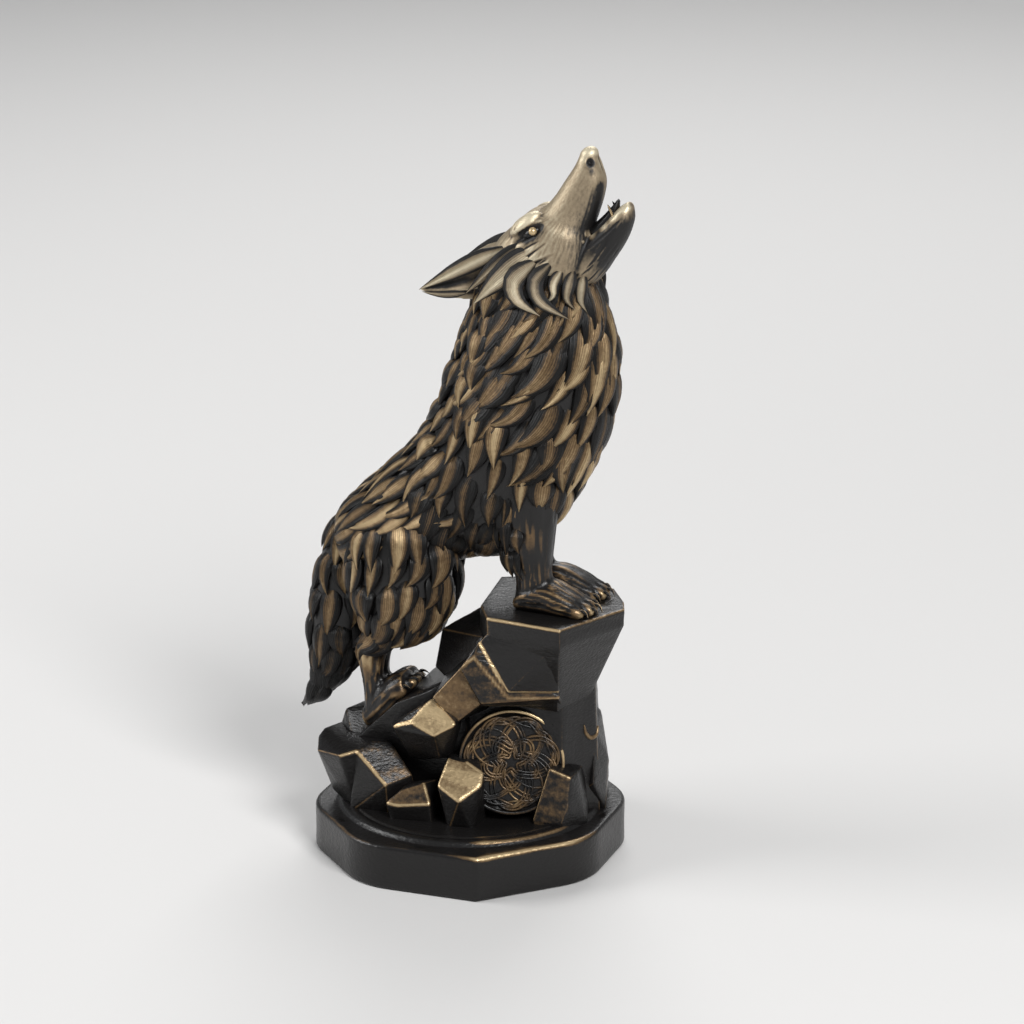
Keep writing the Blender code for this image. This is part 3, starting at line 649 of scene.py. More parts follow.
class Limb:
    """The smooth skin through a row of ribs. Each rib is (top x, z), (bottom x, z), half width."""

    def __init__(self, ribs: tuple, side: float = 0.0, squareness: float = 2.1, back: float = 0.0,
                 down: float = 0.0) -> None:
        """Place the ribs.

        Args:
            ribs: The ribs, in wolf measures.
            side: Distance from the wolf's middle plane.
            squareness: 2 gives an ellipse and more a squarer section.
            back: How far the limb is set back.
            down: How far the limb is set down.
        """
        lift = FORE_LEDGE_TOP - down
        self.rows = np.array([(t[0] - back, t[1] + lift, b[0] - back, b[1] + lift, w) for t, b, w in ribs])
        self.y = WOLF_MIDDLE + side
        self.power = 2.0 / squareness

    def section(self, u: np.ndarray) -> np.ndarray:
        """Rib values at u, from 0 at the first rib to 1 at the last.

        Args:
            u: Shares of the way along the limb.

        Returns:
            An array of (share, rib value).
        """
        last = len(self.rows) - 1
        spot = np.clip(u, 0.0, 1.0) * last
        i = np.minimum(spot.astype(int), last - 1)
        t = (spot - i)[:, None]
        a, b = self.rows[i], self.rows[i + 1]
        before = np.where((i > 0)[:, None], self.rows[np.maximum(i - 1, 0)], 2 * a - b)
        after = np.where((i + 2 <= last)[:, None], self.rows[np.minimum(i + 2, last)], 2 * b - a)
        return 0.5 * (2 * a + (b - before) * t + (2 * before - 5 * a + 4 * b - after) * t**2
                      + (3 * a - before - 3 * b + after) * t**3)

    def at(self, u: np.ndarray, v: np.ndarray) -> np.ndarray:
        """Points at u along the limb and angle v round it: 0 at the top, a quarter turn at +Y.

        Args:
            u: Shares of the way along the limb.
            v: Angles round it, in radians.

        Returns:
            An array of (point, 3).
        """
        row = self.section(np.asarray(u, float))
        c, s = np.cos(v), np.sin(v)
        up = np.sign(c) * np.abs(c) ** self.power
        out = np.sign(s) * np.abs(s) ** self.power
        x = (row[:, 0] + row[:, 2]) / 2 + (row[:, 0] - row[:, 2]) / 2 * up
        z = (row[:, 1] + row[:, 3]) / 2 + (row[:, 1] - row[:, 3]) / 2 * up
        return np.stack([x, self.y + row[:, 4] * out, z], axis=1)

    def slopes(self, u: np.ndarray, v: np.ndarray) -> tuple:
        """How the points move for a small step of u and of v, and their outward normals.

        Args:
            u: Shares of the way along the limb.
            v: Angles round it, in radians.

        Returns:
            The moves along, the moves round and the normals, each as an array of (point, 3).
        """
        du, dv = 0.01, 0.05
        first, second = np.maximum(u - du, 0.0), np.minimum(u + du, 1.0)
        along = (self.at(second, v) - self.at(first, v)) / (second - first)[:, None]
        around = (self.at(u, v + dv) - self.at(u, v - dv)) / (2 * dv)
        normal = np.cross(along, around)
        normal /= np.linalg.norm(normal, axis=1)[:, None]
        row = self.section(u)
        middle = np.stack([(row[:, 0] + row[:, 2]) / 2, np.full(len(row), self.y),
                           (row[:, 1] + row[:, 3]) / 2], 1)
        inward = ((self.at(u, v) - middle) * normal).sum(axis=1) < 0
        normal[inward] *= -1
        return along, around, normal

    def shape(self, rings: int = 48, sides: int = 40) -> Shape:
        """Closed shape of the limb."""
        angles = np.linspace(0.0, 2 * math.pi, sides, endpoint=False)
        return lathe([self.at(np.full(sides, u), angles) for u in np.linspace(0.0, 1.0, rings)])

    def follow(self, u: np.ndarray, v: np.ndarray, length: np.ndarray, flow: Flow, steps: int,
               bend: np.ndarray | float = 0.0) -> tuple:
        """Paths on the skin, starting at (u, v) and running with the fur.

        Args:
            u: Start of each path along the limb.
            v: Start of each path round the limb.
            length: Length of each path.
            flow: Which way the fur runs.
            steps: Number of steps along each path.
            bend: How far each path curls to one side, in degrees.

        Returns:
            Points and normals, as arrays of (step, path, 3).
        """
        points, normals = [], []
        for k in range(steps + 1):
            along, around, normal = self.slopes(u, v)
            points.append(self.at(u, v))
            normals.append(normal)
            ahead = along * flow.sense
            ahead /= np.linalg.norm(ahead, axis=1)[:, None]
            run = ahead * (1.0 - flow.droop) + np.array([0.0, 0.0, -flow.droop])
            run -= normal * (run * normal).sum(axis=1)[:, None]
            run /= np.maximum(np.linalg.norm(run, axis=1)[:, None], 1e-6)
            turn = math.radians(flow.sweep) * np.abs(np.sin(v)) * np.sign(np.sin(v))
            turn = turn * (0.1 + 1.5 * k / steps) + np.radians(bend) * (2.2 * k / steps - 0.7)
            across = np.cross(normal, run)
            run = run * np.cos(turn)[:, None] + across * np.sin(turn)[:, None]
            run *= (length / steps)[:, None]
            aa, ab, bb = (along * along).sum(1), (along * around).sum(1), (around * around).sum(1)
            ra, rb = (run * along).sum(1), (run * around).sum(1)
            spread = np.maximum(aa * bb - ab * ab, 1e-9)
            u = np.clip(u + (ra * bb - rb * ab) / spread, 0.0, 1.0)
            v = v + (rb * aa - ra * ab) / spread
        return np.array(points), np.array(normals)

    def streaks(self, count: int, reach: tuple, around: tuple, length: float, width: float, depth: float,
                flow: Flow, seed: int) -> list:
        """Fine grooves that run with the fur.

        Args:
            count: Number of grooves.
            reach: Range of u that they start in.
            around: Range of v that they start in, in degrees.
            length: Their mean length.
            width: Their mean width.
            depth: Their mean depth.
            flow: Which way the fur runs.
            seed: Seed of their places.

        Returns:
            The strokes.
        """
        rng = np.random.default_rng(seed)
        u = rng.uniform(*reach, count)
        v = np.radians(rng.uniform(*around, count))
        points, _ = self.follow(u, v, length * rng.uniform(0.6, 1.3, count), flow, 6)
        return [
            Stroke(tuple(map(tuple, points[:, k])), width * rng.uniform(0.8, 1.25),
                   -depth * rng.uniform(0.6, 1.2))
            for k in range(count)
        ]


# The wolf's ribs: (top x, z), (bottom x, z) and half width
TORSO = (
    ((-38.5, 15.0), (-34.5, 6.5), 5.5),
    ((-36.6, 21.0), (-26.0, 1.0), 11.5),
    ((-31.3, 27.0), (-17.0, 4.0), 13.5),
    ((-24.7, 32.8), (-8.0, 9.0), 13.3),
    ((-17.6, 40.0), (1.0, 13.0), 13.0),
    ((-11.5, 47.6), (12.0, 15.0), 14.0),
    ((-7.2, 55.0), (25.0, 25.5), 15.6),
    ((-4.6, 63.0), (34.8, 43.5), 16.6),
    ((-1.4, 71.5), (39.6, 57.5), 16.0),
    ((0.8, 79.0), (40.4, 71.5), 14.5),
    ((2.6, 85.0), (38.0, 82.5), 12.4),
    ((5.0, 91.0), (35.6, 90.0), 10.8),
    ((9.0, 97.0), (35.0, 97.0), 9.0),
)
SKULL = (
    ((5.5, 95.5), (20.0, 86.0), 6.0),
    ((8.2, 101.5), (33.0, 90.0), 9.6),
    ((12.8, 106.2), (35.6, 97.0), 10.3),
    ((17.4, 110.4), (35.6, 102.8), 9.3),
    ((21.2, 111.6), (35.0, 106.8), 7.4),
    ((24.4, 115.2), (36.2, 110.8), 5.9),
    ((27.2, 119.5), (37.6, 115.4), 5.0),
    ((29.8, 123.6), (38.2, 119.6), 4.4),
    ((31.4, 126.8), (37.2, 123.4), 3.4),
    ((33.4, 128.3), (36.0, 126.6), 1.7),
)
JAW = (
    ((25.0, 99.0), (30.0, 88.0), 7.0),
    ((32.0, 103.5), (36.6, 92.6), 7.4),
    ((35.6, 106.6), (42.2, 100.6), 5.8),
    ((39.0, 110.0), (44.9, 105.6), 4.7),
    ((42.0, 113.0), (46.2, 110.0), 3.7),
    ((44.6, 114.8), (46.0, 113.2), 1.9),
)
TONGUE = (
    ((34.2, 107.2), (36.4, 104.0), 3.2),
    ((37.6, 110.4), (40.0, 108.0), 3.0),
    ((40.4, 113.6), (41.8, 111.6), 2.0),
    ((41.6, 115.2), (42.2, 114.4), 0.9),
)
FORELEG = (
    ((28.3, 36.0), (6.8, 34.0), 6.6),
    ((27.0, 25.0), (9.6, 22.0), 6.6),
    ((26.2, 17.5), (12.8, 14.0), 5.8),
    ((25.6, 11.0), (15.6, 8.6), 4.9),
    ((26.4, 6.5), (15.6, 4.0), 4.9),
    ((25.8, 2.6), (16.8, 0.8), 4.6),
)
FOREPAW = (
    ((15.6, 3.6), (15.4, 0.2), 3.6),
    ((18.6, 7.6), (17.6, -0.6), 5.2),
    ((25.0, 9.0), (24.0, -0.7), 6.3),
    ((31.0, 6.6), (30.5, -0.7), 7.0),
    ((35.4, 3.8), (35.2, -0.4), 6.0),
)
THIGH = (
    ((-11.0, 28.0), (-32.0, 19.0), 6.4),
    ((-4.6, 18.0), (-33.0, 10.0), 8.0),
    ((-3.4, 8.0), (-31.5, 0.0), 8.4),
    ((-5.2, -2.2), (-28.6, -8.2), 7.4),
    ((-10.2, -9.6), (-27.2, -12.8), 5.8),
    ((-17.0, -14.0), (-28.4, -15.6), 4.4),
    ((-22.0, -17.4), (-31.4, -18.8), 3.8),
    ((-23.6, -22.6), (-30.6, -23.0), 3.3),
    ((-23.4, -28.0), (-29.6, -28.6), 3.4),
    ((-22.6, -32.0), (-29.0, -35.0), 3.8),
)
HINDPAW = (
    ((-30.0, -36.0), (-27.6, -40.6), 3.2),
    ((-27.4, -31.4), (-23.4, -39.4), 4.3),
    ((-24.2, -27.0), (-19.6, -35.4), 5.2),
    ((-20.8, -24.0), (-17.0, -31.6), 5.8),
    ((-17.4, -22.6), (-15.0, -28.4), 5.0),
)
TAIL = (
    ((-39.5, 20.0), (-29.0, 17.0), 5.5),
    ((-43.6, 10.0), (-31.0, 7.0), 6.6),
    ((-45.6, 0.0), (-31.2, -2.0), 7.2),
    ((-47.4, -9.5), (-31.0, -10.5), 7.4),
    ((-47.8, -18.0), (-32.0, -18.0), 6.9),
    ((-47.5, -26.0), (-35.0, -25.0), 5.6),
    ((-47.6, -32.0), (-39.6, -30.6), 3.6),
    ((-48.4, -36.2), (-44.6, -34.6), 1.9),
    ((-51.2, -39.8), (-50.4, -39.2), 0.35),
)


class FurTree:
    """Geometry nodes that turn guide lines into carved locks of fur.

    A guide line carries its outward normal as facing, its half width as breadth, its painted light and
    shade, how much lighter than usual, as light_and_shade and its number as lock.
    """

    LEAF = ((0.0, 0.34), (0.1, 0.66), (0.3, 1.0), (0.52, 0.88), (0.72, 0.56), (0.89, 0.24), (1.0, 0.02))
    CLAW = ((0.0, 1.0), (0.35, 0.95), (0.7, 0.66), (0.92, 0.3), (1.0, 0.05))
    CREST_SHARPNESS = 2.2
    CREST_WEAR = 1.2
    FURROW_DARKENING = 0.13
    TIP_WEAR = 0.26
    UNEVEN_WEAR = 0.36
    WEAR_OFFSET = 0.62

    def __init__(self, name: str, outline: tuple) -> None:
        """Build the tree.

        Args:
            name: Name of the tree.
            outline: Points of (share of the length, share of the full width).
        """
        inputs = {
            "Geometry": ("NodeSocketGeometry", None),
            "Rings": ("NodeSocketInt", 11),
            "Sides": ("NodeSocketInt", 18),
            "Thickness": (FLOAT, 0.42),
            "Furrow": (FLOAT, 0.3),
            "Furrow Width": (FLOAT, 0.2),
            "Seed": ("NodeSocketInt", 4),
            "Material": ("NodeSocketMaterial", None),
        }
        nodes, given, out = new_group(name, "GeometryNodeTree", inputs, {"Geometry": "NodeSocketGeometry"})
        rail, width = self._rail(nodes, given, outline)
        profile = self._profile(nodes, given)
        swept = nodes.add("GeometryNodeCurveToMesh", {
            "Curve": rail, "Profile Curve": profile, "Scale": width, "Fill Caps": True,
        })
        nodes.hand_out(self._carved(nodes, given, swept.outputs[0]), given, out)
        self.tree = nodes.tree

    def _rail(self, nodes: Nodes, given: bpy.types.Node, outline: tuple) -> tuple:
        """The guide lines as curves, and the lock's half width along them.

        Args:
            nodes: The node builder.
            given: The group's input node.
            outline: Points of (share of the length, share of the full width).

        Returns:
            The curves and the half width.
        """
        curves = nodes.add("GeometryNodeMeshToCurve", {"Mesh": given.outputs["Geometry"]})
        spaced = nodes.add("GeometryNodeResampleCurve", {"Curve": curves.outputs[0],
                                                         "Count": given.outputs["Rings"]})
        facing = nodes.add("GeometryNodeSetCurveNormal", {"Curve": spaced.outputs[0]}, mode="FREE")
        nodes.tree.links.new(nodes.named("facing", "FLOAT_VECTOR"), facing.inputs["Normal"])
        along = nodes.add("GeometryNodeSplineParameter").outputs["Factor"]
        leaf = nodes.add("ShaderNodeFloatCurve", {"Value": along})
        curve = leaf.mapping.curves[0]
        for point in outline[1:-1]:
            curve.points.new(*point)
        curve.points[0].location = outline[0]
        curve.points[-1].location = outline[-1]
        leaf.mapping.update()
        width = nodes.math("MULTIPLY", leaf.outputs[0], nodes.named("breadth"))
        return nodes.store(facing.outputs[0], "along", along), width

    def _profile(self, nodes: Nodes, given: bpy.types.Node) -> bpy.types.NodeSocket:
        """A lens-shaped cross-section: X is the height over the skin and Y the width.

        Args:
            nodes: The node builder.
            given: The group's input node.

        Returns:
            The cross-section, with its crest and its place across stored.
        """
        spot = nodes.add("ShaderNodeSeparateXYZ", {0: nodes.add("GeometryNodeInputPosition").outputs[0]})
        top = nodes.math("MAXIMUM", spot.outputs["X"], 0.0)
        under = nodes.math("MINIMUM", spot.outputs["X"], 0.0)
        rise = nodes.math("MULTIPLY", nodes.math("POWER", top, 0.62), given.outputs["Thickness"])
        sunk = nodes.math("MULTIPLY", under, nodes.math("MULTIPLY", given.outputs["Thickness"], 0.7))
        height = nodes.math("ADD", rise, sunk)
        flat = nodes.add("ShaderNodeCombineXYZ", {"X": height, "Y": spot.outputs["Y"]})
        ring = nodes.store(nodes.circle(given.outputs["Sides"]), "crest", top)
        ring = nodes.store(ring, "across", spot.outputs["Y"])
        placed = nodes.add("GeometryNodeSetPosition", {"Geometry": ring, "Position": flat.outputs[0]})
        return placed.outputs[0]

    def _dip(self, nodes: Nodes, across: bpy.types.NodeSocket, middle: float,
             given: bpy.types.Node) -> bpy.types.NodeSocket:
        """How deep in a furrow a point lies, from 1 in its middle to 0 beside it."""
        gap = nodes.math("ABSOLUTE", nodes.math("SUBTRACT", across, middle))
        return nodes.math("SUBTRACT", 1.0, nodes.ramp(gap, 0.0, given.outputs["Furrow Width"]))

    def _carved(self, nodes: Nodes, given: bpy.types.Node,
                swept: bpy.types.NodeSocket) -> bpy.types.NodeSocket:
        """Cut the furrows that run along each lock, and store what stands out as wear, with painted light and
        shade.

        Args:
            nodes: The node builder.
            given: The group's input node.
            swept: The locks before they are carved.

        Returns:
            The carved locks.
        """
        spin = nodes.add("FunctionNodeRandomValue", {"Seed": given.outputs["Seed"]}, data_type="FLOAT")
        nodes.tree.links.new(nodes.named("lock", "INT"), spin.inputs["ID"])
        crest, across, along = (nodes.named(name) for name in ("crest", "across", "along"))
        shift = nodes.math("SUBTRACT", across, nodes.math("MULTIPLY_ADD", spin.outputs[1], 0.7, -0.35))
        cut = nodes.math("MULTIPLY_ADD", self._dip(nodes, shift, 0.6, given), 0.4,
                         self._dip(nodes, shift, 0.0, given))
        arch = nodes.math("SINE", nodes.math("MULTIPLY", along, math.pi))
        ending = nodes.math("POWER", nodes.math("MAXIMUM", arch, 0.0), 0.4)
        depth = nodes.math("MULTIPLY", nodes.math("MULTIPLY", given.outputs["Furrow"], ending),
                           nodes.named("breadth"))
        push = nodes.math("MULTIPLY", nodes.math("MULTIPLY", cut, nodes.math("POWER", crest, 0.5)),
                          nodes.math("MULTIPLY", depth, -1.0))
        offset = nodes.add("ShaderNodeVectorMath", {0: nodes.named("facing", "FLOAT_VECTOR")},
                           operation="SCALE")
        nodes.tree.links.new(push, offset.inputs["Scale"])
        moved = nodes.add("GeometryNodeSetPosition", {"Geometry": swept, "Offset": offset.outputs[0]})
        peak = nodes.math("MULTIPLY", nodes.math("POWER", crest, self.CREST_SHARPNESS), self.CREST_WEAR)
        high = nodes.math("SUBTRACT", peak, nodes.math("MULTIPLY", cut, self.FURROW_DARKENING))
        # each lock's painted light and shade, lighter or darker than usual
        with_light_and_shade = nodes.math("ADD", high, nodes.named("light_and_shade"))
        toward = nodes.math("MULTIPLY_ADD", along, self.TIP_WEAR, with_light_and_shade)
        dull = nodes.math("SUBTRACT", toward, self.WEAR_OFFSET)
        worn = nodes.math("MULTIPLY_ADD", spin.outputs[1], self.UNEVEN_WEAR, dull)
        return nodes.store(moved.outputs[0], "worn", worn)

    def grow(self, name: str, guides: "Guides", sizes: dict,
             material: bpy.types.Material) -> bpy.types.Object:
        """Grow the locks on their guide lines.

        Args:
            name: Name of the piece.
            guides: The guide lines.
            sizes: Values of the tree's inputs, by name.
            material: The finish of the locks.

        Returns:
            The finished piece, a plain mesh.
        """
        obj = bpy.data.objects.new(name, guides.mesh(name))
        bpy.context.scene.collection.objects.link(obj)
        modifier = obj.modifiers.new("locks", "NODES")
        modifier.node_group = self.tree
        wanted = dict(sizes, Material=material)
        for item in self.tree.interface.items_tree:
            if item.in_out == "INPUT" and item.name in wanted:
                modifier[item.identifier] = wanted[item.name]
        mesh = evaluated(obj)
        bpy.data.objects.remove(obj)
        for spare in ("facing", "breadth", "light_and_shade", "along", "crest", "lock"):
            layer = mesh.attributes.get(spare)
            if layer:
                mesh.attributes.remove(layer)
        return show(place(name, mesh), material)


@dataclass
class Guides:
    """Guide lines for locks: points, outward normals, half width and how much lighter than usual, as painted
    light and shade.
    """

    lines: list = field(default_factory=list)

    def add(self, points: np.ndarray, normals: np.ndarray, breadth: float, light_and_shade: float = 0.0) -> None:
        """Add one guide line."""
        self.lines.append((np.asarray(points, float), np.asarray(normals, float), breadth, light_and_shade))

    def mesh(self, name: str) -> bpy.types.Mesh:
        """The guide lines as loose edges, with their attributes.

        Args:
            name: Name of the mesh.

        Returns:
            The mesh, in metres.
        """
        points = np.concatenate([line[0] for line in self.lines]) * MM
        normals = np.concatenate([line[1] for line in self.lines])
        breadth, light_and_shade, lock, edges, start = [], [], [], [], 0
        for k, (line, _, half, light) in enumerate(self.lines):
            breadth += [half * MM] * len(line)
            light_and_shade += [light] * len(line)
            lock += [k] * len(line)
            edges += [(start + i, start + i + 1) for i in range(len(line) - 1)]
            start += len(line)
        mesh = bpy.data.meshes.new(name)
        mesh.from_pydata(points.tolist(), edges, [])
        mesh.attributes.new("facing", "FLOAT_VECTOR", "POINT").data.foreach_set("vector", normals.ravel())
        mesh.attributes.new("breadth", "FLOAT", "POINT").data.foreach_set("value", breadth)
        mesh.attributes.new("light_and_shade", "FLOAT", "POINT").data.foreach_set("value", light_and_shade)
        mesh.attributes.new("lock", "INT", "POINT").data.foreach_set("value", lock)
        return mesh


@dataclass(frozen=True)
class Coat:
    """Rows of locks on a limb, overlapping like shingles."""

    root: float
    tip: float
    rows: int
    per_row: int
    centre: float
    reach: float
    length: float
    width: float
    flow: Flow
    sink: float = 0.9
    lift: float = 1.3
    seed: int = 3
    curl: float = 26.0
    # painted light and shade of the first row and of the last
    light_and_shade: tuple = (0.0, 0.0)

    def sow(self, guides: Guides, limb: Limb, side: int = 1) -> None:
        """Add the coat's guide lines.

        Args:
            guides: Where the lines go.
            limb: The limb that carries the coat.
            side: 1, or -1 for a coat whose centre is mirrored.
        """
        rng = np.random.default_rng(self.seed)
        row, k = np.divmod(np.arange(self.rows * self.per_row), self.per_row)
        closed = self.reach >= 180.0
        share = (k + (0.0 if closed else 0.25) + 0.5 * (row % 2)) / self.per_row
        count = len(row)
        spread = self.reach / self.per_row
        aside = rng.uniform(-0.3, 0.3, count) * spread
        v = np.radians(side * self.centre + (2 * share - 1) * self.reach + aside)
        gap = (self.tip - self.root) / max(self.rows - 1, 1)
        u = np.clip(self.root + gap * (row + rng.uniform(-0.22, 0.22, count)), 0.0, 1.0)
        length = self.length * rng.uniform(0.74, 1.24, count)
        breadth = 0.5 * self.width * rng.uniform(0.74, 1.26, count)
        bend = rng.uniform(-self.curl, self.curl, count)
        points, normals = limb.follow(u, v, length, self.flow, 8, bend)
        rise = np.linspace(0.0, 1.0, len(points))[:, None, None] ** 1.15
        swell = np.sin(np.pi * rise)
        points = points + normals * (-self.sink + (self.sink + self.lift) * rise + 0.25 * self.lift * swell)
        for n in range(count):
            # painted light and shade, eased from the first row to the last
            light_and_shade = np.interp(row[n], (0, self.rows - 1), self.light_and_shade)
            guides.add(points[:, n], normals[:, n], breadth[n], light_and_shade)


def bent_lock(guides: Guides, path: tuple, facing: tuple, width: float, steps: int = 9) -> None:
    """Add a single lock along a bent line through three or more points.

    Args:
        guides: Where the line goes.
        path: Its points, in wolf measures.
        facing: Its outward direction.
        width: Its full width.
        steps: Number of points of the guide line.
    """
    fine = Stroke(tuple(wolf(*p) for p in path), 0.6, 0.0).fine_path()
    spots = np.linspace(0, len(fine) - 1, steps)
    points = np.stack([np.interp(spots, np.arange(len(fine)), fine[:, k]) for k in range(3)], axis=1)
    normal = np.array(facing) / np.linalg.norm(facing)
    guides.add(points, np.repeat(normal[None], steps, axis=0), width / 2)


@dataclass(frozen=True)
class RubAndShade:
    """A round patch of the wolf, in wolf measures: brushed bronze where its strength is above zero and
    painted shade where it is below.
    """

    near: tuple
    radius: float
    strength: float

    def on(self, points: np.ndarray) -> np.ndarray:
        """How much wear the patch adds at each point, or how much painted shade where its strength is below
        zero.
        """
        gap = np.linalg.norm(points - wolf(*self.near), axis=1)
        return self.strength * np.exp(-((gap / self.radius) ** 2))


@dataclass
class WolfBody:
    """The wolf's trunk, legs, paws and tail, melted into one skin under the fur."""

    voxel: float = 0.58
    fore_stance: float = 7.0
    hind_stance: float = 7.5
    fore_step: float = 4.5
    paw_step: float = 1.2
    hind_step: float = 4.3
    hind_slope: float = 1.05
    toe_radius: float = 2.0
    melt_rounds: int = 6
    ground_wear: float = 0.08
    relief_wear: float = 0.6
    rubs_and_shade: tuple = (
        RubAndShade((20.5, -7.0, 9.0), 6.0, 0.4), RubAndShade((29.0, -7.0, 5.0), 8.0, 0.4), RubAndShade((27.0, 7.0, 5.0), 7.0, 0.25),
        RubAndShade((-27.5, -9.0, -20.0), 4.0, 0.75), RubAndShade((-24.0, -9.5, -30.0), 7.0, 0.26),
        RubAndShade((20.0, -12.0, 22.0), 5.0, 0.46),
    )

    def __post_init__(self) -> None:
        """Place the limbs."""
        self.torso = Limb(TORSO)
        self.tail = Limb(TAIL)
        self.forelegs, self.forepaws, self.thighs, self.hindpaws = {}, {}, {}, {}
        for side in (RIGHT, LEFT):
            far = side == LEFT
            step = self.fore_step if far else 0.0
            self.forelegs[side] = Limb(FORELEG, side * self.fore_stance, back=step)
            self.forepaws[side] = Limb(FOREPAW, side * self.fore_stance, back=self.paw_step if far else 0.0)
            step = self.hind_step if far else 0.0
            drop = step * self.hind_slope
            self.thighs[side] = Limb(THIGH, side * self.hind_stance, back=step, down=drop)
            self.hindpaws[side] = Limb(HINDPAW, side * self.hind_stance, back=step, down=drop)

    def toes(self, side: int, hind: bool) -> list:
        """Centres and slopes of a paw's four toes.

        Args:
            side: RIGHT or LEFT.
            hind: Whether it is a hind paw.

        Returns:
            The toes as (centre, slope in degrees).
        """
        far = side == LEFT
        if hind:
            step = self.hind_step if far else 0.0
            x, z = -16.2 - step, -26.4 - step * self.hind_slope
            stance, tilt, spread = self.hind_stance, 43.0, 2.75
        else:
            x, z = 35.6 - (self.paw_step if far else 0.0), 1.9
            stance, tilt, spread = self.fore_stance, 0.0, 3.2
        rise = math.tan(math.radians(tilt))
        spots = []
        for k in range(4):
            back = 1.9 if k in (0, 3) else 0.0
            spots.append((wolf(x - back, side * stance + (k - 1.5) * spread, z - back * rise), tilt))
        return spots

    def skin_shapes(self) -> list:
        """Every closed form under the fur.

        Returns:
            The shapes.
        """
        shapes = [self.torso.shape(56, 48), self.tail.shape(40, 32)]
        for side in (RIGHT, LEFT):
            shapes += [limb[side].shape(36, 32)
                       for limb in (self.forelegs, self.forepaws, self.thighs, self.hindpaws)]
            for hind in (False, True):
                for centre, tilt in self.toes(side, hind):
                    radii = (3.3, self.toe_radius, self.toe_radius * 0.95)
                    shapes.append(ellipsoid(centre, radii, tilt - 16.0))
                    x, y, z = centre
                    lean = math.radians(tilt)
                    ahead, rise = math.cos(lean), math.sin(lean)
                    knuckle = (x - 3.0 * ahead - 0.6 * rise, y, z - 3.0 * rise + 1.3)
                    shapes.append(ellipsoid(knuckle, (2.6, self.toe_radius * 0.8, 1.5), tilt - 22.0))
        return shapes

    def strokes(self) -> list:
        """The fine fur grooves of the legs, paws and belly, and the furrows between the toes.

        Returns:
            The strokes.
        """
        down = Flow(1.0)
        strokes = []
        for side in (RIGHT, LEFT):
            seed = 20 + side
            top = (-110, 110)
            strokes += self.forelegs[side].streaks(110, (0.02, 0.9), (-180, 180), 8.0, 0.6, 0.34, down, seed)
            strokes += self.forepaws[side].streaks(70, (0.05, 0.7), top, 8.0, 0.6, 0.4, down, seed + 5)
            strokes += self.thighs[side].streaks(90, (0.45, 0.98), (-180, 180), 7.0, 0.6, 0.3, down, seed + 9)
            strokes += self.hindpaws[side].streaks(46, (0.05, 0.7), top, 6.0, 0.56, 0.4, down, seed + 13)
            for hind in (False, True):
                spots = self.toes(side, hind)
                for (a, tilt), (b, _) in zip(spots, spots[1:]):
                    mid = (Vector(a) + Vector(b)) / 2
                    lean = math.radians(tilt)
                    ahead = Vector((math.cos(lean), 0, math.sin(lean)))
                    rise = Vector((-math.sin(lean), 0, math.cos(lean)))
                    places = ((-6.5, 3.2), (-3.0, 2.2), (0.5, 1.2), (3.2, -1.0))
                    path = tuple(tuple(mid + ahead * s + rise * h) for s, h in places)
                    strokes.append(Stroke(path, 0.65, -0.7))
        strokes += self.torso.streaks(160, (0.12, 0.5), (90, 270), 9.0, 0.6, 0.3, Flow(-1.0, 0.2), 31)
        return strokes

    def build(self, material: bpy.types.Material) -> bpy.types.Object:
        """Melt, carve and dress the skin.

        Args:
            material: The finish.

        Returns:
            The finished piece.
        """
        skin = Skin(blended(self.skin_shapes(), self.voxel, self.melt_rounds))
        skin.carve(self.strokes())
        relief = self.relief_wear * skin.relief(10, 0.22)
        skin.wear(self.ground_wear + relief + sum(patch.on(skin.points) for patch in self.rubs_and_shade))
        return finished("wolf_body", skin, material)


def finished(name: str, skin: Skin, material: bpy.types.Material) -> bpy.types.Object:
    """Scale a skin in millimetres to metres and show it as a piece."""
    skin.mesh.transform(Matrix.Scale(MM, 4))
    return show(place(name, skin.mesh), material)


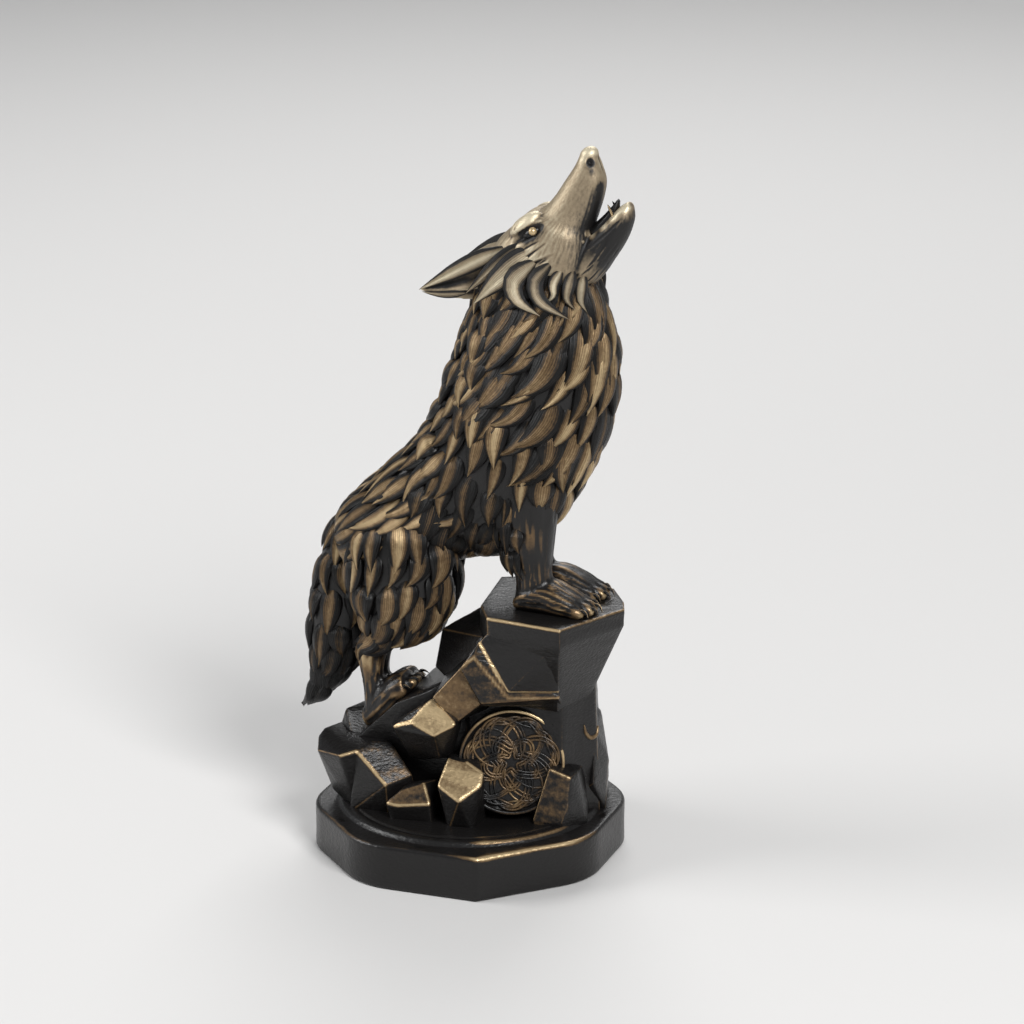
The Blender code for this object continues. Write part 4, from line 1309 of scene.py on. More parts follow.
@dataclass
class WolfHead:
    """The howling head: skull, open jaws, ears, eyes and the carved face."""

    voxel: float = 0.36
    eye: tuple = (20.2, 8.7, 106.0)
    eye_radii: tuple = (2.6, 1.3, 1.35)
    eye_tilt: float = 32.0
    pupil: tuple = (20.9, 9.55, 106.75)
    pupil_radius: float = 1.15
    nose_tip: tuple = (33.5, 0.0, 126.3)
    ear_root: tuple = (8.0, 7.0, 92.6)
    ear_tip: tuple = (-10.2, 12.0, 88.6)
    melt_rounds: int = 4
    ground_wear: float = 0.62
    relief_wear: float = 0.55
    rubs_and_shade: tuple = (
        # painted shade on the lower jaw and in the mouth, then the nose, with painted shade in its nostrils
        # and under it
        RubAndShade((41.0, 0.0, 104.0), 10.0, -0.8), RubAndShade((36.0, -1.0, 107.0), 4.0, -0.4),
        RubAndShade((34.0, -3.0, 127.4), 2.6, 0.2), RubAndShade((34.9, -3.0, 125.2), 1.2, -1.5),
        RubAndShade((34.9, 3.0, 125.2), 1.2, -1.5), RubAndShade((35.2, -3.2, 122.6), 0.9, -0.6),
        # a painted shadow along the upper lip, on both sides
        *(RubAndShade((36.3 + 0.17 * k, side * (3.5 - 0.15 * k), 108.4 + 1.35 * k), 1.5, -0.34)
          for k in range(9) for side in (-1, 1)),
        # painted shade in the hollows of the eyes
        RubAndShade((18.4, -9.4, 104.9), 1.9, -1.0), RubAndShade((20.6, -9.6, 106.2), 2.0, -1.0),
        RubAndShade((22.6, -8.8, 107.8), 1.6, -0.9), RubAndShade((18.4, 9.4, 104.9), 1.9, -1.0),
        RubAndShade((20.6, 9.6, 106.2), 2.0, -1.0), RubAndShade((22.6, 8.8, 107.8), 1.6, -0.9),
        # the pale edge of the lower lip
        RubAndShade((35.6, -3.2, 105.8), 1.7, 1.2), RubAndShade((38.4, -3.4, 108.6), 1.7, 1.2),
        RubAndShade((41.4, -3.0, 111.4), 1.7, 1.2), RubAndShade((44.0, -2.0, 114.0), 1.7, 1.1),
        # the cheeks and the brows, then painted shade on the ears and on the throat under the jaw
        RubAndShade((26.0, -7.0, 108.0), 7.0, 0.12), RubAndShade((26.0, 7.0, 108.0), 7.0, 0.12),
        RubAndShade((18.6, -8.0, 109.6), 3.4, 0.2), RubAndShade((18.6, 8.0, 109.6), 3.4, 0.2),
        RubAndShade((-2.0, -14.0, 88.0), 8.0, -0.35), RubAndShade((-2.0, 18.0, 88.0), 8.0, -0.35),
        RubAndShade((30.0, 0.0, 90.0), 6.0, -0.3),
    )

    def __post_init__(self) -> None:
        """Place the skull, the jaw and the tongue."""
        self.skull = Limb(SKULL, squareness=2.3)
        self.jaw = Limb(JAW)
        self.tongue = Limb(TONGUE)

    def ear(self, side: int) -> Shape:
        """A laid-back ear: a shell, hollow on its outer side, that runs out to a point.

        Args:
            side: RIGHT or LEFT.

        Returns:
            The closed shape.
        """
        root, tip = (np.array(wolf(x, side * y, z)) for x, y, z in (self.ear_root, self.ear_tip))
        run = (tip - root) / np.linalg.norm(tip - root)
        opening = np.array((0.10, side * 0.90, -0.42))
        opening -= run * opening.dot(run)
        opening /= np.linalg.norm(opening)
        across = np.cross(run, opening)
        rings = []
        shares = np.array((-0.25, 0.05, 0.35, 0.65, 0.88, 1.0))
        reaches = np.array((5.6, 7.0, 6.2, 4.1, 1.9, 0.35))
        for s in np.linspace(-0.25, 1.0, 26):
            reach = float(np.interp(s, shares, reaches))
            middle = root + (tip - root) * s + opening * 0.6 * math.sin(math.pi * max(s, 0.0))
            wall = max(1.0 - 1.35 / max(reach, 1.8), 0.3)
            turn = np.linspace(0.0, math.pi, 17)
            back = turn[-2:0:-1]
            ring = [middle + reach * (across * math.cos(a) - opening * 0.6 * math.sin(a)) for a in turn]
            for a in back:
                fold = 0.34 * math.exp(-(((a - 2.1) / 0.24) ** 2))
                inward = 0.6 * wall**2 * math.sin(a) - fold
                ring.append(middle + reach * (across * wall * math.cos(a) - opening * inward))
            rings.append(np.array(ring))
        return lathe(rings)

    def skin_shapes(self) -> list:
        """Every closed form of the head.

        Returns:
            The shapes.
        """
        neck = Limb(TORSO[-4:])
        shapes = [self.skull.shape(60, 48), self.jaw.shape(40, 36), neck.shape(24, 40)]
        shapes.append(ellipsoid(wolf(*self.nose_tip), (3.0, 2.7, 2.4), 50.0))
        for side in (RIGHT, LEFT):
            shapes.append(self.ear(side))
            shapes.append(ellipsoid(wolf(17.6, side * 5.6, 107.6), (5.4, 3.2, 2.3), 40.0))
            shapes.append(ellipsoid(wolf(22.6, side * 7.2, 103.2), (4.6, 2.8, 2.2), 50.0))
        return shapes

    def both_sides(self, path: tuple, width: float, depth: float) -> list:
        """The same stroke on both sides of the face, given for the right side."""
        return [Stroke(tuple(wolf(x, y * mirror, z) for x, y, z in path), width, depth)
                for mirror in (1, -1)]

    def strokes(self) -> list:
        """The carving of the face.

        Returns:
            The strokes.
        """
        lines = (
            # the eye's hollow, its lids and the grooves of the brow
            (((15.4, -8.6, 103.2), (18.0, -8.9, 105.0), (20.6, -9.3, 106.6),
              (23.2, -8.2, 108.0)), 1.35, -1.5),
            (((14.8, -8.6, 104.6), (17.4, -8.6, 107.4), (20.4, -8.0, 109.0), (23.4, -7.2, 109.2)), 0.8, 0.3),
            (((15.2, -8.1, 106.5), (17.4, -7.2, 108.6), (20.4, -6.0, 109.9), (22.8, -6.1, 110.2)), 0.5, -0.6),
            (((13.4, -7.6, 105.6), (15.6, -6.4, 108.6), (18.4, -4.8, 110.2), (21.0, -4.2, 110.9)), 0.5, -0.5),
            # the cheek's long furrows, sweeping back from the eye and the mouth
            (((24.5, -9.9, 103.8), (19.5, -10.2, 99.7), (15.1, -11.0, 95.6), (10.6, -12.2, 90.0)), 0.6, -0.6),
            (((22.7, -9.8, 104.3), (17.0, -10.2, 100.7), (13.2, -11.6, 97.0), (9.5, -12.2, 92.5)), 0.5, -0.5),
            (((26.9, -9.7, 101.2), (22.1, -10.2, 98.4), (17.5, -10.4, 95.0), (13.6, -11.1, 90.4)), 0.7, -0.7),
            (((28.8, -8.4, 103.6), (25.6, -9.8, 100.2), (21.6, -10.6, 97.0),
              (18.4, -11.0, 93.0)), 0.55, -0.5),
            (((31.5, -7.0, 103.5), (28.6, -8.6, 100.0), (25.4, -9.8, 96.5), (22.6, -10.8, 92.6)), 0.55, -0.5),
            # the lips and the line of the mouth
            (((34.0, -4.6, 105.6), (35.2, -4.4, 109.0), (36.4, -3.9, 113.2), (37.0, -3.6, 117.6)), 0.6, 0.45),
            (((32.6, -5.6, 105.4), (33.8, -5.2, 109.4), (35.0, -4.6, 114.0),
              (36.0, -4.2, 118.6)), 0.45, -0.15),
            (((33.6, -5.8, 103.8), (36.6, -5.3, 106.2), (39.8, -4.5, 109.4), (43.6, -3.0, 113.2)), 0.6, 0.4),
            (((34.6, -6.2, 102.2), (37.8, -5.6, 104.8), (41.0, -4.9, 107.8),
              (44.2, -3.4, 111.4)), 0.45, -0.35),
            # the nostrils and the edge of the nose
            (((34.3, -2.8, 125.7), (35.1, -2.8, 124.8)), 0.85, -1.3),
            (((33.6, -3.7, 123.9), (35.4, -3.2, 122.9), (37.0, -1.6, 122.6)), 0.4, -0.35),
        )
        strokes = [stroke for path, width, depth in lines for stroke in self.both_sides(path, width, depth)]
        nose_bridge = ((33.0, 0.0, 128.4), (35.2, 0.0, 127.0), (36.6, 0.0, 124.6), (37.6, 0.0, 121.0))
        strokes.append(Stroke(tuple(wolf(*p) for p in nose_bridge), 0.4, -0.5))
        back = Flow(-1.0, 0.1)
        for sign in (-1, 1):
            around = (min(sign * 28, sign * 150), max(sign * 28, sign * 150))
            strokes += self.skull.streaks(190, (0.08, 0.46), around, 4.2, 0.4, 0.1, back, 41 + sign)
            strokes += self.skull.streaks(240, (0.42, 0.95), around, 1.3, 0.3, 0.05, back, 51 + sign)
        strokes += self.skull.streaks(70, (0.1, 0.6), (-30, 30), 3.6, 0.36, 0.14, back, 43)
        strokes += self.jaw.streaks(60, (0.02, 0.5), (60, 300), 4.5, 0.4, 0.3, Flow(-1.0), 44)
        strokes += self.jaw.streaks(120, (0.3, 0.9), (60, 300), 1.5, 0.3, 0.06, Flow(-1.0), 45)
        for side in (RIGHT, LEFT):
            root, tip = (Vector(wolf(x, side * y, z)) for x, y, z in (self.ear_root, self.ear_tip))
            for rise, out in ((6.4, 0.0), (6.2, 2.0), (5.4, 3.6), (4.4, 4.8), (3.2, 5.6)):
                start = root + Vector((3.5, side * out, rise))
                end = root.lerp(tip, 0.84) + Vector((0.0, side * 0.3 * out, 0.3 * rise))
                middle = start.lerp(end, 0.5) + Vector((0, 0, 0.6))
                strokes.append(Stroke((tuple(start), tuple(middle), tuple(end)), 0.5, -0.4))
        return strokes

    def eyes(self, material: bpy.types.Material) -> bpy.types.Object:
        """The eyeballs, with the raised bronze pupils.

        Args:
            material: The finish.

        Returns:
            The finished piece.
        """
        shapes = []
        for side in (RIGHT, LEFT):
            x, y, z = self.eye
            ball = ellipsoid(wolf(x, side * (y - 0.75), z), self.eye_radii, self.eye_tilt, 24)
            ball.worn = np.zeros(len(ball.points))
            x, y, z = self.pupil
            pupil = ellipsoid(wolf(x, side * (y - 0.35), z), (self.pupil_radius,) * 3, 0.0, 16)
            pupil.worn = np.full(len(pupil.points), 1.8)
            shapes += [ball, pupil]
        return show(place("wolf_eyes", joined(shapes).mesh("wolf_eyes")), material)

    def mouth(self, material: bpy.types.Material) -> bpy.types.Object:
        """The tongue in the lower jaw.

        Args:
            material: The finish.

        Returns:
            The finished piece.
        """
        shape = self.tongue.shape(24, 24)
        shape.worn = np.full(len(shape.points), 0.3)
        return show(place("wolf_tongue", shape.mesh("wolf_tongue")), material)

    def build(self, material: bpy.types.Material) -> bpy.types.Object:
        """Melt, carve and dress the head.

        Args:
            material: The finish.

        Returns:
            The finished piece.
        """
        skin = Skin(blended(self.skin_shapes(), self.voxel, self.melt_rounds))
        skin.carve(self.strokes())
        relief = self.relief_wear * skin.relief(12, 0.22)
        # patches with a strength below zero add painted shade to the wear
        skin.wear(self.ground_wear + relief + sum(patch.on(skin.points) for patch in self.rubs_and_shade))
        return finished("wolf_head", skin, material)


@dataclass
class Coats:
    """The wolf's fur, lock by lock."""

    body: WolfBody
    nape: Coat = Coat(0.97, 0.46, 9, 7, 0.0, 62.0, 11.0, 7.0, Flow(-1.0, 0.15), 0.9, 1.5, seed=5,
                      light_and_shade=(0.02, 0.08))
    chest: Coat = Coat(0.98, 0.63, 7, 13, 180.0, 128.0, 18.5, 7.6, Flow(-1.0, 0.42, 38.0), 2.0, 1.2, seed=6,
                       curl=14.0)
    shoulder: Coat = Coat(0.61, 0.38, 5, 14, 180.0, 128.0, 14.5, 7.2, Flow(-1.0, 0.74, 6.0), 1.8, 1.5, seed=7,
                          light_and_shade=(0.04, -0.16))
    throat: Coat = Coat(1.0, 0.92, 3, 13, 180.0, 84.0, 12.0, 3.0, Flow(-1.0, 0.3, 16.0), 0.5, 0.7, seed=12,
                        light_and_shade=(-0.1, -0.1))
    flank: Coat = Coat(0.43, 0.10, 6, 11, 0.0, 105.0, 16.0, 5.0, Flow(-1.0, 0.04), 0.7, 1.5, seed=8,
                       light_and_shade=(0.08, 0.04))
    belly: Coat = Coat(0.46, 0.20, 4, 9, 180.0, 74.0, 10.0, 4.8, Flow(-1.0, 0.6), 0.7, 1.3, seed=9,
                       light_and_shade=(-0.2, -0.16))
    haunch: Coat = Coat(0.02, 0.36, 5, 7, 90.0, 94.0, 14.0, 6.6, Flow(1.0, 0.2, 16.0), 1.0, 1.7, seed=10,
                        light_and_shade=(0.08, -0.1))
    elbow: Coat = Coat(0.0, 0.3, 3, 8, 180.0, 95.0, 9.0, 3.8, Flow(1.0, 0.3), 0.6, 1.3, seed=13,
                       light_and_shade=(-0.1, -0.24))
    brush: Coat = Coat(0.03, 0.72, 7, 8, 0.0, 180.0, 13.0, 6.0, Flow(1.0, 0.0), 1.2, 0.8, seed=11,
                       light_and_shade=(0.06, -0.5))

    def build(self, locks: FurTree, claws: FurTree, materials: dict) -> list:
        """Grow every coat.

        Args:
            locks: The tree for locks.
            claws: The tree for claws and teeth.
            materials: The finishes by name.

        Returns:
            The pieces.
        """
        body = self.body
        mane, flank, tail, haunch, face, jowl, horn = (Guides() for _ in range(7))
        for coat in (self.nape, self.chest, self.shoulder):
            coat.sow(mane, body.torso)
        self.throat.sow(flank, body.torso)
        self.flank.sow(flank, body.torso)
        self.belly.sow(flank, body.torso)
        self.brush.sow(tail, body.tail)
        near_tip = ((-40.5, 0.5, -22.0), (-43.5, -0.6, -30.0), (-46.2, -1.2, -35.0), (-51.2, -0.6, -39.9))
        far_tip = ((-41.0, 1.5, -22.0), (-43.0, 1.6, -30.0), (-46.0, 1.0, -35.0), (-51.2, 0.2, -39.9))
        bent_lock(tail, near_tip, (-0.3, -1.0, 0.0), 4.4)
        bent_lock(tail, far_tip, (-0.3, 1.0, 0.0), 4.4)
        for side in (RIGHT, LEFT):
            self.haunch.sow(haunch, body.thighs[side], side)
            self.elbow.sow(haunch, body.forelegs[side], side)
            self._cheek(face, jowl, side)
            self._horn(horn, side)
        wide = {"Rings": 12, "Sides": 26, "Thickness": 0.62, "Furrow": 0.17, "Furrow Width": 0.3}
        fine = {"Rings": 12, "Sides": 20, "Thickness": 0.62, "Furrow": 0.17, "Furrow Width": 0.36}
        long = {"Rings": 22, "Sides": 36, "Thickness": 0.4, "Furrow": 0.2, "Furrow Width": 0.22}
        plain = {"Rings": 8, "Sides": 12, "Thickness": 0.9, "Furrow": 0.0}
        fur = materials["fur"]
        return [
            locks.grow("mane_fur", mane, wide, fur),
            locks.grow("flank_fur", flank, fine, fur),
            locks.grow("tail_fur", tail, wide, fur),
            locks.grow("haunch_fur", haunch, wide, fur),
            locks.grow("cheek_fur", face, long, materials["face"]),
            locks.grow("jowl_fur", jowl, wide, materials["face"]),
            claws.grow("claws_and_teeth", horn, plain, materials["horn"]),
        ]

    def _cheek(self, face: Guides, jowl: Guides, side: int) -> None:
        """The long streaked locks behind the eye and on the ear, and the curved ones below them.

        Args:
            face: Where the streaked locks go.
            jowl: Where the curved locks go.
            side: RIGHT or LEFT.
        """
        streaked = (
            (((21.4, -7.4, 101.6), (16.4, -10.4, 97.4), (11.2, -12.6, 92.4), (5.8, -13.8, 86.6)), 7.6),
            (((18.0, -7.4, 102.8), (12.4, -10.0, 98.0), (7.6, -12.0, 93.4), (3.4, -13.2, 89.2)), 5.0),
            (((12.0, -7.6, 100.8), (4.4, -10.6, 97.2), (-3.4, -12.2, 92.8), (-10.4, -12.3, 88.7)), 5.2),
            (((3.0, -12.4, 89.0), (-2.0, -13.0, 88.3), (-6.0, -12.9, 88.1), (-9.6, -12.3, 88.2)), 2.2),
        )
        curved = (
            (((21.6, -9.4, 98.6), (16.6, -11.6, 93.8), (18.2, -13.2, 88.8), (24.6, -13.8, 85.0)), 6.0),
            (((26.0, -9.6, 98.4), (22.4, -11.2, 93.8), (24.6, -12.8, 88.8), (32.4, -12.4, 84.4)), 4.8),
            (((29.0, -8.6, 97.0), (27.4, -10.6, 93.4), (27.8, -11.8, 90.6), (25.8, -12.6, 88.2)), 3.2),
            (((31.8, -7.4, 96.6), (31.4, -9.4, 93.2), (31.2, -10.6, 89.6), (33.2, -9.8, 86.4)), 3.6),
            (((34.2, -6.0, 95.6), (34.2, -7.6, 92.0), (34.4, -8.4, 88.6), (35.8, -7.6, 85.4)), 3.4),
        )
        for guides, locks in ((face, streaked), (jowl, curved)):
            for path, width in locks:
                mirrored = tuple((x, -side * y, z) for x, y, z in path)
                bent_lock(guides, mirrored, (0.15, side, -0.12), width, 12)

    def _horn(self, horn: Guides, side: int) -> None:
        """Claws on every toe, and the fang of the lower jaw.

        Args:
            horn: Where the guide lines go.
            side: RIGHT or LEFT.
        """
        for hind in (False, True):
            for (x, y, z), tilt in self.body.toes(side, hind):
                lean = math.radians(tilt - 8.0)
                ahead, rise = (math.cos(lean), math.sin(lean)), (-math.sin(lean), math.cos(lean))
                path = [
                    (x + s * ahead[0] + h * rise[0], y, z + s * ahead[1] + h * rise[1])
                    for s, h in ((1.6, 0.6), (2.9, 0.9), (3.9, 0.3), (4.5, -0.9))
                ]
                normal = np.array([(rise[0], 0.0, rise[1])] * 4)
                horn.add(np.array(path), normal, 0.62)
        fang = ((41.6, 2.0, 109.6), (40.7, 2.1, 112.0), (39.4, 2.0, 114.0))
        points = np.array([wolf(x, side * y, z) for x, y, z in fang])
        horn.add(points, np.array([(0.0, float(side), 0.0)] * 3), 0.7)


@dataclass(frozen=True)
class Rock:
    """A split rock: the corners its flat faces run between, with z from the plinth's top."""

    corners: tuple
    chamfer: float = 0.5


# The fore ledge: its top, its widest part and its drawn-in foot, each as (plan, depth below the top)
FORE_LEDGE = (
    (((11.4, -17.2), (33.4, -20.2), (44.3, 2.4), (42.3, 8.0), (36.0, 18.0), (20.0, 25.0),
      (3.1, 17.0), (6.2, -8.0)), 0.0),
    (((11.4, -16.8), (33.4, -19.8), (44.0, 2.8), (36.0, 18.5), (20.0, 25.0), (2.6, 17.0),
      (6.0, -8.0)), 5.0),
    (((11.4, -15.6), (32.0, -17.8), (41.6, 1.6), (35.0, 17.0), (19.0, 23.5), (3.0, 16.0),
      (6.0, -7.0)), 10.0),
    (((12.0, -13.6), (30.0, -14.5), (36.6, 0.0), (32.0, 15.0), (18.0, 21.0), (4.0, 14.0),
      (6.0, -6.0)), 15.5),
    (((14.0, -8.0), (29.0, -9.0), (34.0, 2.0), (30.0, 12.0), (8.0, 12.0)), 28.0),
)


def fore_ledge() -> Rock:
    """The block under the forepaws, with faces that draw in towards its foot."""
    top = FORE_LEDGE_TOP - PLINTH_TOP
    return Rock(tuple((x, y, top - depth) for plan, depth in FORE_LEDGE for x, y in plan))


ROCKS = (
    # the core under the fore ledge
    Rock((
        (13, -6, 0), (30, -8, 0), (37, 4, 0), (31, 24, 0), (12, 30, 0), (-4, 22, 0), (-2, -8, 0),
        (13, -8, 46), (30, -8, 46), (35.5, 3, 46), (31, 16, 46), (18, 21, 46), (2, 17, 46),
        (4, -8, 46),
    )),
    # the shelf above the boss, with its long worn edge
    Rock((
        (9.1, -17.0, 52.1), (8.2, -18.9, 48.0), (6.4, -19.5, 46.7), (4.8, -20.2, 45.0), (10.6, -19.6, 35.0),
        (17.6, -17.3, 36.7), (30.7, -12.5, 36.7), (17.6, -16.4, 38.4), (30.6, -11.8, 38.4),
        (9.4, -16.8, 33.2), (19.5, -12.5, 33.0), (30.0, -8.5, 33.0), (11, -8, 52), (8, -4, 30),
        (30, -2, 33),
    ), 0.3),
    # the worn front of the fore ledge's block
    Rock((
        (9.2, -17.2, 51.9), (17.5, -17.5, 38.4), (30.6, -12.8, 38.4), (32.0, -16.5, 49.5),
        (12.5, -16.4, 56.0), (31.4, -18.0, 54.0), (14, -6, 52), (16, -6, 39), (30, -4, 39),
    ), 0.3),
    # the leaning slab between the fore ledge and the hind ledge
    Rock((
        (4.5, 1.4, 56.3), (-8.3, 0.2, 47.9), (-9.1, -3.3, 37.8), (4.5, -13.0, 43.0),
        (8.5, -12.0, 51.5), (5, 17, 55), (-7.5, 14, 46.5), (-9, 15, 34), (10, 16, 34),
        (0, -12, 36),
    )),
    # two worn facets that step down in front of the slab
    Rock((
        (3.8, -17.3, 43.9), (-3.8, -19.6, 34.8), (2.5, -18.3, 27.8), (9.4, -16.3, 33.7),
        (7, -5, 50), (-5, -6, 37), (0, -6, 25), (10, -5, 30),
    )),
    Rock((
        (-9.0, -22.1, 28.2), (-4.6, -17.5, 33.9), (3.7, -21.4, 28.8), (-1.6, -23.9, 25.7),
        (-14.4, -22.4, 26.2), (-11.0, -20.0, 29.4), (-20, -10, 22.0), (-3, -8, 33.4), (2, -8, 30),
        (-12.0, -14, 14), (0, -14, 16), (-12.5, -19, 20), (-2.0, -18.6, 17),
    )),
    # the slope under the hind paws
    Rock((
        (-30.5, -12.0, 16.0), (-17.0, -14.0, 29.5), (-6.0, -14.0, 35.0), (2.0, -10.0, 40.0),
        (2.0, 14.0, 40.0), (-6.0, 18.0, 35.0), (-17.0, 18.0, 29.5), (-30.5, 16.0, 16.0),
        (-33, -8, 0), (-33, 16, 0), (4, -10, 0), (4, 20, 0),
    )),
    # the low slab on the left, and the rock behind it
    Rock((
        (-37.9, -20.1, 15.3), (-40.6, -12.7, 16.6), (-40.6, -8.4, 17.4), (-37.5, -3.0, 17.7),
        (-29.5, -24.4, 16.3), (-25.2, -21.8, 17.2), (-19.0, -12.0, 18.0), (-30.0, 20.0, 15.0),
        (-10.0, 24.0, 14.0), (-36.0, -14.0, 2.0), (-36.0, -9.0, 0), (-27, -18.5, 0), (-16, -12, 0),
        (-34.5, 4, 0), (-26, 19, 0), (-8, 26, 0),
    )),
    Rock((
        (-36.2, -3.0, 21.9), (-31.2, 1.7, 23.6), (-25.0, -4.0, 24.6), (-26.0, 12.0, 24.0),
        (-38.4, -4.0, 14.0), (-30.0, -12.0, 15.5), (-34.0, 14.0, 14.0), (-20, 16, 14),
        (-20, -10, 14),
    )),
    # the wedge with the worn edge at the front left
    Rock((
        (-25.8, -21.5, 17.3), (-20.9, -22.6, 13.2), (-16.1, -23.8, 9.1), (-10.4, -18.0, 10.9),
        (-18.0, -14.8, 18.7), (-22.5, -17.4, 19.1), (-28.5, -20.5, 0), (-16.6, -20.5, 0),
        (-10, -13, 0), (-22, -10, 0),
    )),
    # small rocks at the foot
    Rock((
        (-15.3, -26.0, 4.9), (-11.6, -26.1, 4.6), (-2.7, -24.6, 5.6), (-6.1, -20.4, 9.9), (-11.9, -22.9, 7.9),
        (-14, -24.6, 0), (-2.6, -23.0, 0), (-4, -14, 9), (-3, -14, 0), (-14, -15, 0), (-12, -16, 8),
    )),
    Rock((
        (0.9, -19.6, 17.8), (0.2, -26.3, 12.2), (7.2, -28.5, 9.2), (11.9, -23.3, 12.7), (11.5, -20.6, 15.0),
        (6.2, -19.2, 17.2), (2.4, -23.8, 0), (9.6, -22.8, 0), (-1, -14, 17), (-1, -14, 0), (10, -14, 0),
        (8, -14, 17.4),
    )),
    Rock((
        (27.7, -12.3, 15.6), (33.8, -11.9, 13.6), (33.7, -13.4, 5.7), (24.1, -15.5, 1.2), (32.2, -14.5, 1.0),
        (24.0, -15.4, 0), (33.4, -13.6, 0), (37.0, -6.0, 0), (28, -3, 16), (34.6, -8.0, 14.0), (24, -6, 0),
        (34, 4, 0), (33, 2, 13),
    )),
    # rocks on the right and at the back
    Rock((
        (35.5, 4.0, 22.0), (33.5, 15.0, 24.0), (37.5, 10.0, 12.0), (36.5, 0.0, 8.0), (30, 8, 32),
        (26, 22, 20), (38, 6, 0), (34, 20, 0), (24, 26, 0), (26, 4, 0),
    )),
    Rock((
        (10, 32, 18), (22, 30, 16), (27, 27, 0), (14, 35.5, 0), (2, 33.5, 0), (4, 28, 24),
        (16, 14, 32), (0, 16, 28), (22, 16, 0), (0, 16, 0),
    )),
    Rock((
        (-8, 30, 14), (-18, 27, 16), (-21, 29, 0), (-6, 34, 0), (3, 30, 0), (-4, 20, 28),
        (-16, 14, 22), (2, 12, 0), (-22, 14, 0),
    )),
)


@dataclass(frozen=True)
class BrushedAndLitFacet:
    """A facet of the rock that faces the light, brushed with bronze and painted brighter as a highlight: a
    point on it and how strongly.
    """

    near: tuple
    strength: float
    radius: float = 5.0


@dataclass(frozen=True)
class WornEdge:
    """A line of edges that the brush went over, how strongly and how widely."""

    path: tuple
    strength: float
    width: float = 0.6

    def on(self, points: np.ndarray) -> np.ndarray:
        """Wear of each point by its distance from the line.

        Args:
            points: The points.

        Returns:
            An array with one value for each point.
        """
        worn = np.zeros(len(points))
        corners = np.array(self.path) + (0.0, 0.0, PLINTH_TOP)
        for a, b in zip(corners, corners[1:]):
            worn = np.maximum(worn, self.strength * nearness(points, a, b, self.width))
        return worn


def nearness(points: np.ndarray, a: np.ndarray, b: np.ndarray, width: float) -> np.ndarray:
    """How near each point is to the line from a to b: 1 on it, and little beyond its width.

    Args:
        points: The points.
        a: Start of the line.
        b: End of the line.
        width: Its half width.

    Returns:
        An array with one value for each point.
    """
    run = b - a
    share = np.clip(((points - a) @ run) / max(run @ run, 1e-9), 0.0, 1.0)
    gap = np.linalg.norm(points - a - share[:, None] * run, axis=1)
    return np.exp(-((gap / width) ** 2))


# The edges of the stones that are worn down to bare gold
WORN_EDGES = (
    WornEdge(((11.4, -17.2, 59.2), (33.4, -20.2, 59.2)), 1.3, 0.75),
    WornEdge(((33.4, -20.2, 59.2), (44.3, 2.4, 59.2), (42.3, 8.0, 59.2)), 0.78, 0.7),
    WornEdge(((6.2, -8.0, 59.2), (11.4, -17.2, 59.2)), 0.7),
    WornEdge(((9.2, -17.2, 51.9), (17.5, -17.5, 38.4), (30.6, -12.8, 38.4)), 1.25, 0.7),
    WornEdge(((4.8, -20.2, 45.0), (8.2, -18.9, 48.0), (17.6, -17.3, 36.7), (30.7, -12.5, 36.7)), 0.85, 0.85),
    WornEdge(((-3.8, -19.6, 34.8), (3.8, -17.3, 43.9), (9.4, -16.3, 33.7)), 0.85),
    WornEdge(((-14.4, -22.4, 26.2), (-9.0, -22.1, 28.2), (-4.6, -17.5, 33.9), (3.7, -21.4, 28.8),
              (-1.6, -23.9, 25.7), (-9.0, -22.1, 28.2)), 1.2, 0.7),
    WornEdge(((0.9, -19.6, 17.8), (0.2, -26.3, 12.2), (7.2, -28.5, 9.2), (11.9, -23.3, 12.7),
              (11.5, -20.6, 15.0), (6.2, -19.2, 17.2)), 1.2, 0.7),
    WornEdge(((-29.5, -24.4, 16.3), (-25.8, -21.5, 17.3), (-20.9, -22.6, 13.2),
              (-16.1, -23.8, 9.1)), 1.15, 0.75),
    WornEdge(((-37.9, -20.1, 15.3), (-29.5, -24.4, 16.3)), 0.8),
    WornEdge(((-16.1, -23.8, 9.1), (-10.4, -18.0, 10.9)), 0.6),
    WornEdge(((-15.3, -26.0, 4.9), (-11.6, -26.1, 4.6), (-2.7, -24.6, 5.6), (-6.1, -20.4, 9.9)), 1.1, 0.7),
    WornEdge(((33.8, -11.9, 13.6), (27.7, -12.3, 15.6), (24.1, -15.5, 1.2)), 0.95, 0.7),
    WornEdge(((4.5, 1.4, 56.3), (-8.3, 0.2, 47.9), (-9.1, -3.3, 37.8)), 0.6),
)


@dataclass(frozen=True)
class Hook:
    """A small worn hook of stone that curls on the right face of the fore ledge's block."""

    path: tuple = ((33.9, -0.7, 25.1), (34.3, -0.2, 22.5), (35.2, 1.4, 20.8), (36.1, 3.3, 21.2),
                   (36.2, 4.6, 23.4))
    outward: tuple = (0.9, -0.4, 0.1)
    radius: float = 0.62
    worn: float = 0.72

    def shape(self, sides: int = 12) -> Shape:
        """A round rod along the path, tapered at both ends.

        Args:
            sides: Number of points round the rod.

        Returns:
            The closed shape, with its wear.
        """
        path = Stroke(tuple((x, y, z + PLINTH_TOP) for x, y, z in self.path), 0.8, 0.0).fine_path()
        run = np.gradient(path, axis=0)
        run /= np.linalg.norm(run, axis=1)[:, None]
        out = np.array(self.outward) - run * (run @ np.array(self.outward))[:, None]
        out /= np.linalg.norm(out, axis=1)[:, None]
        reach = self.radius * (0.3 + 0.7 * np.sin(np.linspace(0.0, math.pi, len(path))))
        turn = np.linspace(0.0, 2 * math.pi, sides, endpoint=False)[:, None]
        side = np.cross(out, run)
        rod = lathe([p + r * (np.cos(turn) * o + np.sin(turn) * s)
                     for p, r, o, s in zip(path, reach, out, side)])
        rod.worn = np.full(len(rod.points), self.worn)
        return rod


